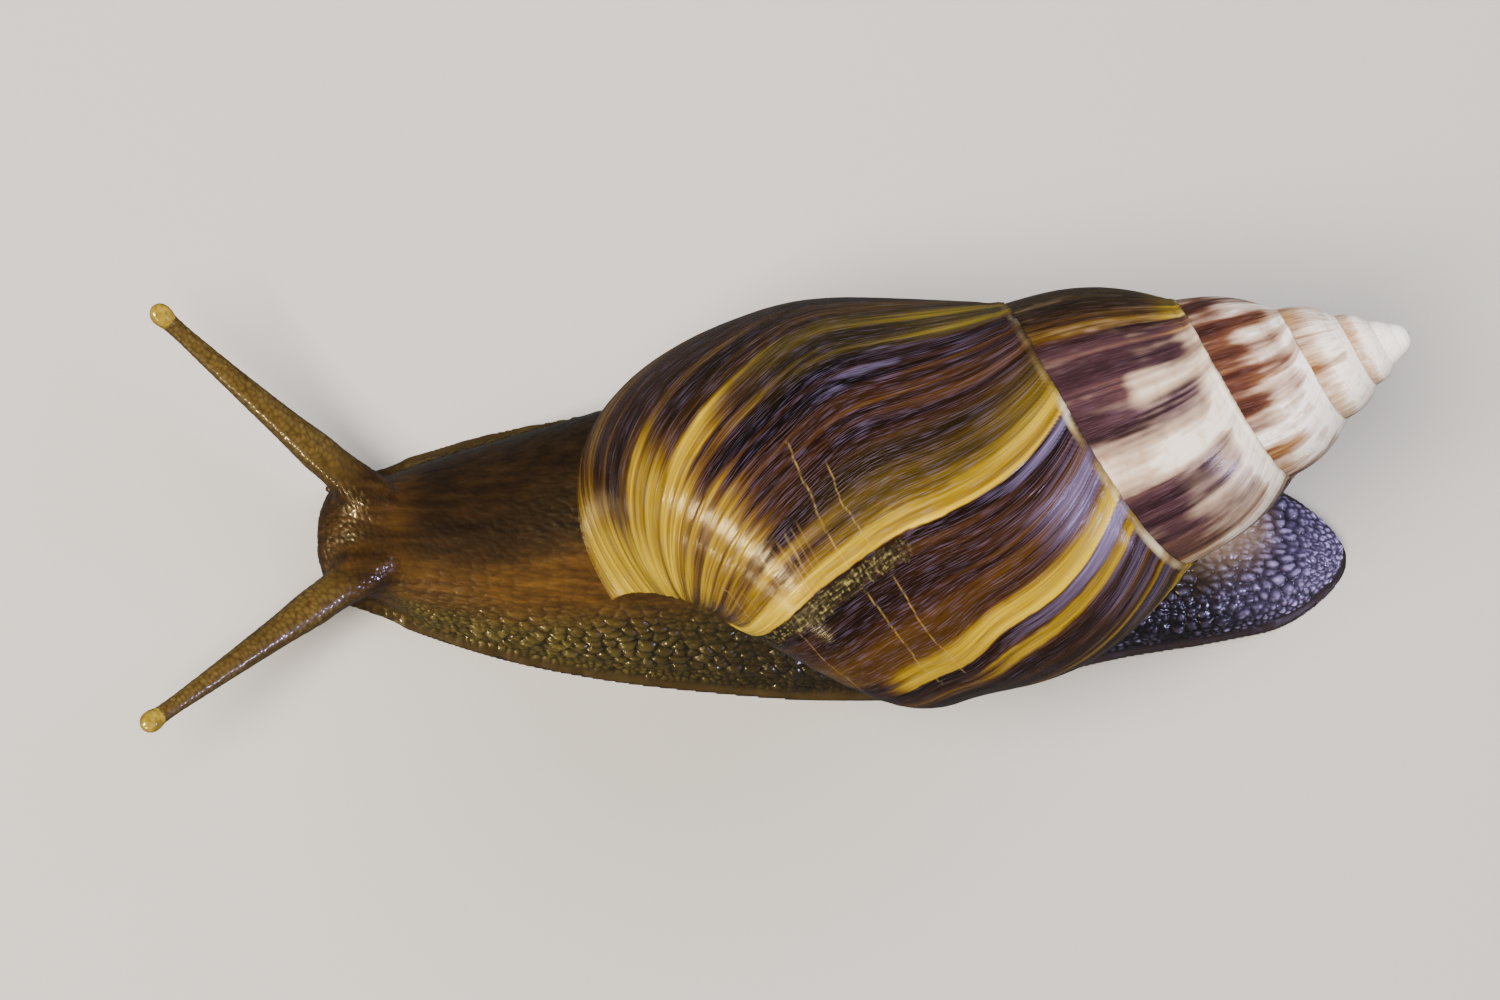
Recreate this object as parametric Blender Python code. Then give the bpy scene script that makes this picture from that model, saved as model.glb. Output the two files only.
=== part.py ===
"""Giant African land snail (Lissachatina fulica), crawling, with its shell on its back.

Units are metres. +Z is up, the head points towards -Y and the snail's left is +X. The sole lies on
Z = 0, with the origin at its middle. Every named object is one closed solid, and neighbours keep a
narrow gap. The shell winds to the right, so growth runs clockwise when it is seen from its apex.
"""

import math

import bmesh
import bpy
from mathutils import Matrix, Vector

MM = 0.001
GAP = 0.3 * MM  # space left between two neighbouring solids
WELD = 0.03 * MM  # vertices nearer than this after a cut are joined

# Shell: its axis starts at the apex and runs down and forward to the basal lip.
APEX = Vector((-17.4, 45.0, 50.0)) * MM
AXIS_PITCH = math.radians(23.0)  # the apex end is the higher one
AXIS_YAW = math.radians(20.4)  # the apex leans to the snail's right
LIP_AZIMUTH = math.radians(128.6)  # round the axis from straight up, towards the snail's right

# The suture is the line where one whorl meets the next. Turns are counted back from the lip.
SUTURE_DEPTH = 38.0 * MM  # along the axis, at the lip
SUTURE_RADIUS = 17.7 * MM
DEPTH_RATE = 1.771  # growth for each turn
RADIUS_RATE = 1.512
LIP_SETTLING = 0.8  # how far the suture draws in over the last part of the last turn
SETTLING_TURN = 0.36
# The upper whorls narrow faster and end in a blunt tip: turn, shares of the suture's radius and depth.
UPPER_WHORLS = (
    (0.8, 1.0, 1.0),
    (1.1, 0.965, 1.0),
    (1.6, 0.97, 1.0),
    (2.1, 0.92, 1.0),
    (2.6, 0.90, 1.0),
    (3.35, 0.86, 1.0),
    (4.35, 0.82, 1.0),
    (5.35, 0.88, 0.95),
    (6.35, 0.98, 0.84),
)
WHORL_BULGES = ((1.0, 0.085), (2.0, 0.09), (3.0, 0.11), (4.0, 0.125), (5.0, 0.15))  # turn, share of height
SPIRE_LEAN = Vector((0.4, 0.28, 0.0)) * MM  # the upper whorls sit a little off the axis
LEAN_DEPTHS = (24.0 * MM, 14.0 * MM)  # depths between which that comes in
TIP_DEPTH = 0.36 * MM
CROWN_DEPTH = 0.35  # ring on the rounded apex, as shares of the first whorl's upper edge
CROWN_RADIUS = 0.71

# Outline of the last whorl, at the lip: its widest place and its base.
WIDEST_DEPTH = 63.9 * MM
WIDEST_RADIUS = 25.5 * MM
WIDEST_DEPTH_RATE = 1.39
WIDEST_RADIUS_RATE = 1.64
BASE_DEPTH = 84.6 * MM
BASE_DEPTH_RATE = 1.372
COLUMELLA_RADIUS = 2.4 * MM
SHOULDER_ANGLE = math.radians(22.5)  # of the outline where it leaves the suture, at the lip
SHOULDER_ANGLE_GAIN = math.radians(-16.5)  # gained over the last turn
BASE_ANGLE_START = math.radians(42.5)  # of the outline where it reaches the base
BASE_ANGLE_GAIN = math.radians(64.0)  # gained over the last turn
SHOULDER_HANDLE = 0.66
WIDEST_HANDLE = 0.28
BASE_HANDLE = 0.67

# Growth lines, and so the lip, lag behind the meridian towards the base.
LAG_AT_BASE = math.radians(25.0)
LAG_SHARES = (0.35, 0.95)  # shares of the outline between which the lag grows
LAG_TURNS = (0.65, 1.0)  # turns over which it starts, so that the hidden start has none

LIP_THICKNESS = 1.0 * MM
RIM_SHARE = 0.35  # the rim is never wider than this share of the aperture
APERTURE_RECESS = 2.6 * MM  # how far the closed aperture lies behind the lip
RECESS_RISE = (0.08, 0.22)  # shares of the lip where recess and rim come in at the upper end
RECESS_FALL = (0.72, 0.98)  # and run out at the lower end
SMALL_RADIUS = 8.0 * MM  # least radius used to turn a distance into an angle
LEAST_RADIUS = 0.4 * MM  # no outline comes nearer to the axis

WHORLS = (  # name, turns from its lower end to the lip, steps round, steps down
    ("shell_protoconch", 5, 20, 3),
    ("shell_spire_upper", 4, 24, 4),
    ("shell_spire_middle", 3, 28, 4),
    ("shell_spire_lower", 2, 32, 5),
    ("shell_penultimate_whorl", 1, 40, 7),
    ("shell_body_whorl", 0, 48, 22),
)

# Flesh: stations from head to tail, in millimetres.
# y, half width, height, sideways shift of the crest, height of the underside
STATIONS = (
    (-56.0, 6.3, 8.4, 0.0, 3.4),
    (-52.0, 7.0, 10.4, 0.0, 1.2),
    (-45.0, 9.6, 11.4, -0.2, 0.0),
    (-36.0, 12.3, 13.2, -1.2, 0.0),
    (-26.0, 14.2, 16.5, -4.5, 0.0),
    (-14.0, 15.5, 20.0, -9.0, 0.0),
    (-2.0, 16.2, 20.0, -9.5, 0.0),
    (9.0, 15.7, 14.0, -4.0, 0.0),
    (19.0, 14.0, 9.0, -0.8, 0.0),
    (30.0, 11.4, 7.4, -0.3, 0.0),
    (42.0, 9.3, 5.8, -0.7, 0.0),
    (51.0, 7.2, 4.0, -0.9, 0.0),
    (56.0, 5.4, 3.0, -0.6, 0.0),
)
HEAD_ROUNDING = 3.8 * MM  # length over which the front of the head closes
TAIL_ROUNDING = 10.0 * MM
FLESH_RINGS = 50
RING_EASING = 0.12  # how strongly the rings gather at the two ends
HEAD_MIDDLE = 0.45  # height of the front end's centre, as a share of the head's height
TAIL_END = Vector((-0.6, 56.0)) * MM  # x and y of the tip of the tail
FRINGE_WIDTH = 1.3 * MM  # the foot's thin margin
FRINGE_HEIGHT = 1.2 * MM
GROOVE_HEIGHT = 1.7 * MM
FRINGE_START = -50.0 * MM  # the margin fades out forward of this
FLANK_STEPS = 5
FLANK_ROUNDNESS = (0.85, 0.9)  # powers of the flank's arc, outwards and upwards
CUTS = (  # name of each length of flesh and the y where it ends
    ("head", -46.0),
    ("neck", -30.0),
    ("foot_front", -8.0),
    ("foot_middle", 14.0),
    ("foot_rear", 36.0),
    ("tail", 60.0),
)

# Mantle: the collar of flesh that closes the aperture inside the lip.
MANTLE_DEPTH = 4.4 * MM
MANTLE_PROFILE = (  # shares of its width and of its height above its lower face
    (0.0, 0.0),
    (1.0, 0.0),
    (1.0, 0.7),
    (0.85, 1.0),
    (0.3, 1.0),
    (0.0, 0.6),
)

# Feelers: base and tip, with radii on the way.
UPPER_FEELERS = {
    "right": (Vector((-4.6, -51.5, 9.2)) * MM, Vector((-21.2, -72.8, 18.3)) * MM),
    "left": (Vector((4.1, -51.7, 9.2)) * MM, Vector((20.1, -73.0, 18.1)) * MM),
}
UPPER_FEELER_RADII = ((0.0, 2.5), (0.16, 2.1), (0.35, 1.6), (0.6, 1.15), (0.84, 0.8), (0.9, 0.82))
BULB_RADII = ((0.91, 0.85), (0.935, 1.06), (0.96, 1.12), (0.985, 0.92), (0.997, 0.5))
LOWER_FEELERS = {
    "right": (Vector((-4.3, -51.4, 4.2)) * MM, Vector((-5.6, -54.9, 1.2)) * MM),
    "left": (Vector((4.3, -51.4, 4.2)) * MM, Vector((5.6, -54.9, 1.2)) * MM),
}
LOWER_FEELER_RADII = ((0.0, 1.3), (0.4, 1.05), (0.75, 0.8), (0.9, 0.78), (0.98, 0.45))
FEELER_SIDES = 12
UPPER_FEELER_SAG = 1.2 * MM  # how far the middle of a feeler hangs under its chord
LIPS_CENTRE = Vector((0.0, -53.4, 2.2)) * MM
LIPS_SIZE = Vector((3.0, 2.2, 1.5)) * MM
LIPS_SEGMENTS = 16

COLOURS = {  # base colour, roughness
    "shell_dark": ((0.16, 0.08, 0.03), 0.25),
    "shell_pale": ((0.78, 0.70, 0.58), 0.35),
    "flesh": ((0.23, 0.15, 0.08), 0.4),
    "eye": ((0.42, 0.33, 0.18), 0.35),
}


def clear_scene():
    """Remove every object that is already in the file."""
    for thing in list(bpy.data.objects):
        bpy.data.objects.remove(thing, do_unlink=True)


def material(name):
    """One material with a Principled shader for each named colour."""
    found = bpy.data.materials.get(name)
    if found:
        return found
    colour, roughness = COLOURS[name]
    made = bpy.data.materials.new(name)
    made.use_nodes = True
    shader = made.node_tree.nodes["Principled BSDF"]
    shader.inputs["Base Color"].default_value = (*colour, 1.0)
    shader.inputs["Roughness"].default_value = roughness
    shader.inputs["Metallic"].default_value = 0.0
    return made


def solid(name, verts, faces, slot):
    """Make a closed object with its faces outward."""
    mesh = bpy.data.meshes.new(name)
    mesh.from_pydata([tuple(v) for v in verts], [], faces)
    work = bmesh.new()
    work.from_mesh(mesh)
    bmesh.ops.recalc_face_normals(work, faces=work.faces)
    bmesh.ops.triangulate(work, faces=[f for f in work.faces if len(f.verts) > 4])
    work.to_mesh(mesh)
    work.free()
    mesh.shade_smooth()
    mesh.set_sharp_from_angle(angle=math.radians(50.0))
    mesh.materials.append(material(slot))
    thing = bpy.data.objects.new(name, mesh)
    bpy.context.scene.collection.objects.link(thing)
    return thing


def smoothstep(start, end, value):
    """0 before start, 1 after end, with a smooth rise between them."""
    t = min(1.0, max(0.0, (value - start) / (end - start)))
    return t * t * (3.0 - 2.0 * t)


def bezier(p0, p1, p2, p3, steps):
    """Points on a cubic curve, both ends included."""
    points = []
    for k in range(steps + 1):
        t = k / steps
        s = 1.0 - t
        points.append(s**3 * p0 + 3 * s * s * t * p1 + 3 * s * t * t * p2 + t**3 * p3)
    return points


def table_value(rows, column, place):
    """Value of one column of a table at a place, on straight lines between the rows."""
    k = 0
    while k < len(rows) - 2 and rows[k + 1][0] < place:
        k += 1
    share = (place - rows[k][0]) / (rows[k + 1][0] - rows[k][0])
    share = min(1.0, max(0.0, share))
    return rows[k][column] * (1.0 - share) + rows[k + 1][column] * share


def station_value(rows, column, y):
    """Smooth value of one column of a station table at y, in metres."""
    y_mm = y / MM
    k = 0
    while k < len(rows) - 2 and rows[k + 1][0] < y_mm:
        k += 1
    before = rows[max(k - 1, 0)]
    here, there = rows[k], rows[k + 1]
    after = rows[min(k + 2, len(rows) - 1)]
    span = there[0] - here[0]
    t = min(1.0, max(0.0, (y_mm - here[0]) / span))
    slope_here = (there[column] - before[column]) / (there[0] - before[0]) * span
    slope_there = (after[column] - here[column]) / (after[0] - here[0]) * span
    hermite = (2 * t**3 - 3 * t * t + 1) * here[column] + (t**3 - 2 * t * t + t) * slope_here
    hermite += (3 * t * t - 2 * t**3) * there[column] + (t**3 - t * t) * slope_there
    return hermite * MM


# ---------------------------------------------------------------- shell


def shell_frame():
    """The shell's axis, its upward side and its side towards the snail's right."""
    flat = math.cos(AXIS_PITCH)
    axis = Vector((flat * math.sin(AXIS_YAW), -flat * math.cos(AXIS_YAW), -math.sin(AXIS_PITCH)))
    side = axis.cross(Vector((0.0, 0.0, 1.0))).normalized()
    upward = side.cross(axis).normalized()
    return axis, upward, side


AXIS, UPWARD, SIDE = shell_frame()


def shell_point(depth, radius, azimuth):
    """World place of a point given round the shell's axis."""
    around = math.cos(azimuth) * UPWARD + math.sin(azimuth) * SIDE
    return APEX + depth * AXIS + radius * around + SPIRE_LEAN * smoothstep(*LEAN_DEPTHS, depth)


def suture(turn):
    """Depth and radius of the suture, as a flat vector, at a turn counted back from the lip."""
    settled = math.exp(-LIP_SETTLING * max(0.0, SETTLING_TURN - turn) ** 2)
    depth = SUTURE_DEPTH * DEPTH_RATE**-turn * table_value(UPPER_WHORLS, 2, turn)
    radius = SUTURE_RADIUS * RADIUS_RATE**-turn * settled * table_value(UPPER_WHORLS, 1, turn)
    return Vector((depth, radius))


def spire_outline(turn, steps):
    """Outline of a spire whorl from its own suture to the next, slightly bulged."""
    top, bottom = suture(turn), suture(turn - 1)
    chord = bottom - top
    outward = Vector((-chord.y, chord.x)) * table_value(WHORL_BULGES, 1, turn)
    return [
        top + chord * (k / steps) + outward * math.sin(math.pi * k / steps)
        for k in range(steps + 1)
    ]


def body_outline(turn, steps):
    """Outline of the last whorl from the suture, round its widest place, to the columella."""
    top = suture(turn)
    widest = Vector((WIDEST_DEPTH * WIDEST_DEPTH_RATE**-turn, WIDEST_RADIUS * WIDEST_RADIUS_RATE**-turn))
    base = Vector((BASE_DEPTH * BASE_DEPTH_RATE**-turn, COLUMELLA_RADIUS))
    base_angle = BASE_ANGLE_START + BASE_ANGLE_GAIN * smoothstep(-0.66, -0.06, -turn)
    leave_angle = SHOULDER_ANGLE - SHOULDER_ANGLE_GAIN * turn
    leave = Vector((math.cos(leave_angle), math.sin(leave_angle)))
    arrive = Vector((math.cos(base_angle), -math.sin(base_angle)))
    along = Vector((1.0, 0.0))
    upper_span, lower_span = (widest - top).length, (base - widest).length
    upper = bezier(
        top,
        top + leave * SHOULDER_HANDLE * upper_span,
        widest - along * WIDEST_HANDLE * upper_span,
        widest,
        steps // 2,
    )
    lower = bezier(
        widest,
        widest + along * WIDEST_HANDLE * lower_span,
        base - arrive * BASE_HANDLE * lower_span,
        base,
        steps - steps // 2,
    )
    return upper + lower[1:]


def growth_lag(share):
    """How far a growth line lags behind the meridian, at a share of the outline."""
    return LAG_AT_BASE * smoothstep(*LAG_SHARES, share)


def azimuth_at(turn):
    """Azimuth of a meridian at a turn counted back from the lip."""
    return LIP_AZIMUTH - turn * 2.0 * math.pi


def whorl_section(turn, last, steps, grow, lagging):
    """Depth, radius and azimuth down one growth line, drawn in or out by grow."""
    outline = body_outline(turn, steps) if last else spire_outline(turn, steps)
    lag_share = (1.0 - smoothstep(*LAG_TURNS, turn)) if lagging else 0.0
    section = []
    for k, point in enumerate(outline):
        before, after = outline[max(k - 1, 0)], outline[min(k + 1, steps)]
        tangent = (after - before).normalized()
        outward = Vector((-tangent.y, tangent.x))
        lag = growth_lag(k / steps) * lag_share
        if lag:
            shifted = turn + lag / (2.0 * math.pi)
            point = body_outline(shifted, steps)[k]
        moved = point + outward * grow
        if k == 0:
            moved.x += GAP / 2 - grow
        if k == steps:
            moved.x += grow if last else grow - GAP / 2
        section.append((moved.x, max(moved.y, LEAST_RADIUS), azimuth_at(turn) - lag))
    return section


def whorl_sections(turn_end, steps_round, steps_down, grow, recess):
    """Sections round one turn, and the place on the first one that the end's upper corner meets."""
    last = turn_end == 0
    turns = [turn_end + 1.0 - k / steps_round for k in range(steps_round + 1)]
    sections = [whorl_section(t, last, steps_down, grow, last) for t in turns]
    start_shift = GAP / max(suture(turn_end + 1).y, SMALL_RADIUS / 4)
    sections[0] = [(d, r, a + start_shift) for d, r, a in sections[0]]
    sections[-1] = [(d, r, a + grow / max(r, SMALL_RADIUS)) for d, r, a in sections[-1]]
    if not last:
        return sections, steps_down
    meet = next(k for k, p in enumerate(sections[0]) if p[0] > sections[-1][0][0])
    sections[0] = recess_start(sections[0], meet, recess)
    return sections, meet


def whorl_mesh(turn_end, steps_round, steps_down, grow=0.0, recess=APERTURE_RECESS):
    """Vertices and faces of one whole turn of shell, closed towards the axis.

    A strip runs once round the axis. Its upper and lower edges are closed by fans to two points on
    the axis, its start by a wall under the upper fan and its end by a wall over the lower fan.
    A cutter is the same turn, grown on every side, and its recess leaves room for the mantle or none.
    """
    first, last = turn_end == WHORLS[0][1], turn_end == 0
    sections, meet = whorl_sections(turn_end, steps_round, steps_down, grow, recess)
    high_depth = TIP_DEPTH if first else fan_depth(turn_end + 1) + GAP / 2 - grow
    low_depth = sections[-1][-1][0] if last else fan_depth(turn_end) - GAP / 2 + grow
    verts = [shell_point(*p) for section in sections for p in section]
    top_tip, bottom_tip = len(verts), len(verts) + 1
    verts += [shell_point(high_depth, 0.0, 0.0), shell_point(low_depth, 0.0, 0.0)]
    row = steps_down + 1
    end = steps_round * row
    faces = strip(steps_round, steps_down, bottom_tip)
    if first:
        crown(verts, faces, sections, top_tip, meet)
    else:
        faces += [(top_tip, k * row, (k + 1) * row) for k in range(steps_round - 1)]
        faces.append((top_tip, end - row, end, meet))
        faces += [(top_tip, j + 1, j) for j in range(meet)]
    if last:
        aperture_wall(verts, faces, meet, end, steps_down, bottom_tip, recess, LIP_THICKNESS + 2.0 * grow)
    else:
        faces.append((meet, end, end + 1, bottom_tip))
        faces += [(bottom_tip, end + j, end + j + 1) for j in range(1, steps_down)]
    return verts, faces


def strip(steps_round, steps_down, bottom_tip):
    """Faces of the outer strip and of the fan under its lower edge."""
    row = steps_down + 1
    faces = []
    for k in range(steps_round):
        for j in range(steps_down):
            a = k * row + j
            faces.append((a, a + 1, a + row + 1, a + row))
        bottom = k * row + steps_down
        faces.append((bottom_tip, bottom + row, bottom))
    return faces


def crown(verts, faces, sections, tip, meet):
    """Rounded apex over the first whorl, with one ring between its upper edge and the tip."""
    row = len(sections[0])
    ring = []
    for section in sections[:-1]:
        depth, radius, azimuth = section[0]
        ring.append(len(verts))
        depth = TIP_DEPTH + CROWN_DEPTH * (depth - TIP_DEPTH)
        verts.append(shell_point(depth, CROWN_RADIUS * radius, azimuth))
    for k in range(len(ring) - 1):
        faces.append((ring[k], k * row, (k + 1) * row, ring[k + 1]))
        faces.append((tip, ring[k], ring[k + 1]))
    last = (len(ring) - 1) * row
    faces.append([ring[-1], last, last + row] + list(range(meet, -1, -1)) + [ring[0]])
    faces.append((tip, ring[-1], ring[0]))


def recess_share(share):
    """Share of the recess and of the lip's thickness, which both run out at the lip's two ends."""
    return smoothstep(*RECESS_RISE, share) * (1.0 - smoothstep(*RECESS_FALL, share))


def recess_start(section, meet, recess):
    """Set the hidden part of the first section back, behind the closed aperture."""
    set_back = []
    for k, (depth, radius, azimuth) in enumerate(section):
        share = max(0.0, (k - meet) / (len(section) - 1 - meet))
        back = recess * recess_share(share) / max(radius, SMALL_RADIUS)
        set_back.append((depth, radius, azimuth - back))
    return set_back


def growth_direction(inner, outer):
    """Direction of growth, square to a line across the aperture."""
    across = (outer - inner).normalized()
    arm = (inner + outer) / 2.0 - APEX
    growth = AXIS.cross(arm - arm.dot(AXIS) * AXIS).normalized()
    return (growth - growth.dot(across) * across).normalized()


def aperture_wall(verts, faces, meet, end, down, bottom_tip, recess, thickness):
    """Close the aperture behind the lip: the rim, its inner edge and the wall to the old whorl."""
    rim, deep = [], []
    for k in range(1, down):
        outer = verts[end + k]
        inner = verts[meet + round(k / down * (down - meet))]
        width = (inner - outer).length
        edge = outer + (inner - outer) * min(thickness / width, RIM_SHARE)
        rim.append(len(verts))
        verts.append(edge)
        deep.append(len(verts))
        verts.append(edge - growth_direction(inner, outer) * recess * recess_share(k / down))
    outer = [end + k for k in range(1, down)]
    for k in range(len(rim) - 1):
        faces.append((outer[k], rim[k], rim[k + 1], outer[k + 1]))
        faces.append((rim[k], deep[k], deep[k + 1], rim[k + 1]))
    faces.append((end, rim[0], outer[0]))
    faces.append((end, deep[0], rim[0]))
    faces.append((outer[-1], rim[-1], end + down))
    faces.append((rim[-1], deep[-1], end + down))
    inner = list(range(meet, down + 1))
    faces += ladder([end] + deep + [end + down], inner)
    faces.append((end + down, bottom_tip, down))


def ladder(left, right):
    """Triangles between two rows of vertices with different counts, always the shorter step."""
    faces = []
    a, b = 0, 0
    while a < len(left) - 1 or b < len(right) - 1:
        step_left = b == len(right) - 1
        if a < len(left) - 1 and b < len(right) - 1:
            step_left = (a + 1) * (len(right) - 1) <= (b + 1) * (len(left) - 1)
        if step_left:
            faces.append((left[a], left[a + 1], right[b]))
            a += 1
        else:
            faces.append((left[a], right[b + 1], right[b]))
            b += 1
    return faces


def fan_depth(turn):
    """Depth on the axis where the fan under the suture meets, between its two ends."""
    return 0.5 * (suture(turn).x + suture(turn - 1).x)


def add_shell():
    """All whorls, from the protoconch to the body whorl."""
    for name, turn_end, steps_round, steps_down in WHORLS:
        verts, faces = whorl_mesh(turn_end, steps_round, steps_down)
        solid(name, verts, faces, "shell_pale" if turn_end > 1 else "shell_dark")


# ---------------------------------------------------------------- flesh


def end_rounding(y):
    """Share of the full section that is left where the head and the tail close."""
    first, last = STATIONS[0][0] * MM, STATIONS[-1][0] * MM
    share = 1.0
    if y < first + HEAD_ROUNDING:
        share = math.sqrt(max(0.0, 1.0 - ((first + HEAD_ROUNDING - y) / HEAD_ROUNDING) ** 2))
    if y > last - TAIL_ROUNDING:
        share = math.sqrt(max(0.0, 1.0 - ((y - last + TAIL_ROUNDING) / TAIL_ROUNDING) ** 2))
    return share


def flesh_ring(y, grow):
    """Closed cross-section of head, neck or foot at y, from the middle of the sole round."""
    share = end_rounding(y)
    half = station_value(STATIONS, 1, y) * share + grow
    full = station_value(STATIONS, 2, y)
    crest = station_value(STATIONS, 3, y)
    under = max(0.0, station_value(STATIONS, 4, y))
    head = smoothstep(-FRINGE_START, -FRINGE_START + 4.0 * MM, -y)
    middle = under + HEAD_MIDDLE * (full - under) * head
    top = middle + (full - middle) * share**0.8 + grow
    under = middle - (middle - under) * share - (grow if under > 0 else 0.0)
    fringe = FRINGE_WIDTH * (1.0 - 0.85 * head) * share
    low = min(1.0, (top - under) / (3.0 * GROOVE_HEIGHT))
    groove = under + GROOVE_HEIGHT * low
    right = [
        Vector((half - 0.8 * fringe, under)),
        Vector((half, under + 0.35 * FRINGE_HEIGHT * low)),
        Vector((half - 0.1 * fringe, under + FRINGE_HEIGHT * low)),
        Vector((half - fringe, groove)),
    ]
    for k in range(1, FLANK_STEPS):
        angle = 0.5 * math.pi * k / FLANK_STEPS
        out = (half - fringe) * math.cos(angle) ** FLANK_ROUNDNESS[0]
        up = (top - groove) * math.sin(angle) ** FLANK_ROUNDNESS[1]
        right.append(Vector((out, groove + up)))
    left = [Vector((-p.x, p.y)) for p in reversed(right)]
    ring = [Vector((0.0, under))] + right + [Vector((0.0, top))] + left
    tall = max(top - groove, 0.1 * MM)
    return [Vector((p.x + crest * max(0.0, p.y - groove) / tall, y, p.y)) for p in ring]


def ring_places():
    """Stations along the body, closer together where the ends round off."""
    first, last = STATIONS[0][0] * MM, STATIONS[-1][0] * MM
    places = []
    for k in range(FLESH_RINGS + 1):
        t = k / FLESH_RINGS
        eased = t - RING_EASING * math.sin(2.0 * math.pi * t)
        places.append(first + (last - first) * eased)
    return places[1:-1]


def flesh_mesh(grow=0.0):
    """Head, neck and foot as one closed body."""
    rings = [flesh_ring(y, grow) for y in ring_places()]
    verts = [v for ring in rings for v in ring]
    faces = tube_faces(len(rings), len(rings[0]))
    front_height = sum(v.z for v in rings[0]) / len(rings[0])
    back_height = sum(v.z for v in rings[-1]) / len(rings[-1])
    nose = Vector((0.0, STATIONS[0][0] * MM - grow, front_height))
    tail_tip = Vector((TAIL_END.x, TAIL_END.y + grow, back_height))
    cap(verts, faces, rings, nose, tail_tip)
    return verts, faces


def tube_faces(rings, sides):
    """Faces between successive closed rings."""
    faces = []
    for k in range(rings - 1):
        here, there = k * sides, (k + 1) * sides
        for j in range(sides):
            after = (j + 1) % sides
            faces.append((here + j, here + after, there + after, there + j))
    return faces


def cap(verts, faces, rings, start, end):
    """Close both ends of a row of rings with a fan to a point."""
    sides = len(rings[0])
    back = (len(rings) - 1) * sides
    verts += [start, end]
    faces += [(len(verts) - 2, (j + 1) % sides, j) for j in range(sides)]
    faces += [(len(verts) - 1, back + j, back + (j + 1) % sides) for j in range(sides)]


def mantle_mesh(grow=0.0):
    """Collar across the aperture, from the old whorl to just inside the lip."""
    steps = WHORLS[-1][3]
    lip = whorl_section(0.0, True, steps, 0.0, True)
    old = whorl_section(1.0, True, steps, 0.0, False)
    meet = next(k for k, p in enumerate(old) if p[0] > lip[0][0])
    rings = []
    for k in range(2, steps - 2, 2):
        place = meet + k / steps * (steps - meet)
        before, part = int(place), place - int(place)
        inner = shell_point(*old[before]).lerp(shell_point(*old[before + 1]), part)
        rings.append(mantle_ring(inner, shell_point(*lip[k]), k / steps, grow))
    faces = tube_faces(len(rings), len(rings[0]))
    ends = []
    for ring, within in ((rings[0], rings[1]), (rings[-1], rings[-2])):
        middle = sum(ring, Vector()) / len(ring)
        outward = (middle - sum(within, Vector()) / len(within)).normalized()
        for corner in ring:
            corner += outward * grow
        ends.append(middle + outward * grow)
    verts = [v for ring in rings for v in ring]
    cap(verts, faces, rings, ends[0], ends[1])
    return verts, faces


def mantle_ring(inner, outer, share, grow):
    """Closed loop of the collar between a point on the old whorl and one on the lip."""
    across = outer - inner
    width = across.length
    across.normalize()
    growth = growth_direction(inner, outer)
    near, far = 1.5 * LIP_THICKNESS - grow, width - LIP_THICKNESS - GAP + grow
    bottom = 2.0 * GAP - APERTURE_RECESS * recess_share(share) - grow
    top = MANTLE_DEPTH - APERTURE_RECESS + grow
    ring = []
    for wide, high in MANTLE_PROFILE:
        out = near + (far - near) * wide
        up = bottom + (top - bottom) * high
        ring.append(inner + across * out + growth * up)
    return ring


# ---------------------------------------------------------------- feelers


def tube_between(start, end, radii, sag=0.0, rounded=True):
    """Closed tapering tube on a line that sags a little; its far end reaches the line's end or not."""
    sides = FEELER_SIDES
    chord = end - start
    across = chord.cross(Vector((0.0, 0.0, 1.0))).normalized()
    over = across.cross(chord).normalized()
    rings = []
    for share, radius_mm in radii:
        centre = start + chord * share - over * sag * 4.0 * share * (1.0 - share)
        ring = []
        for j in range(sides):
            angle = 2.0 * math.pi * j / sides
            ring.append(centre + (math.cos(angle) * across + math.sin(angle) * over) * radius_mm * MM)
        rings.append(ring)
    verts = [v for ring in rings for v in ring]
    faces = tube_faces(len(rings), sides)
    near, far = (sum(ring, Vector()) / sides for ring in (rings[0], rings[-1]))
    cap(verts, faces, rings, near, end if rounded else far)
    return verts, faces


def add_feelers(head_cutter):
    """Upper feelers with the eye bulbs on their tips, and the short lower feelers."""
    for side, (base, tip) in UPPER_FEELERS.items():
        tube = tube_between(base, tip, UPPER_FEELER_RADII, UPPER_FEELER_SAG, rounded=False)
        subtract(solid(f"upper_feeler_{side}", *tube, "flesh"), head_cutter)
        solid(f"eye_{side}", *tube_between(base, tip, BULB_RADII, UPPER_FEELER_SAG), "eye")
    for side, (base, tip) in LOWER_FEELERS.items():
        tube = tube_between(base, tip, LOWER_FEELER_RADII)
        subtract(solid(f"lower_feeler_{side}", *tube, "flesh"), head_cutter)


def subtract(thing, cutter):
    """Cut one object by another and keep the result as plain mesh."""
    cut = thing.modifiers.new("cut", "BOOLEAN")
    cut.operation = "DIFFERENCE"
    cut.solver = "EXACT"
    cut.object = cutter
    depsgraph = bpy.context.evaluated_depsgraph_get()
    mesh = bpy.data.meshes.new_from_object(thing.evaluated_get(depsgraph))
    thing.modifiers.clear()
    thing.data = mesh


def hide_cutter(thing):
    """Mark a cutter so that it is not taken for a part."""
    thing.hide_render = True
    thing.display_type = "WIRE"
    return thing


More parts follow.
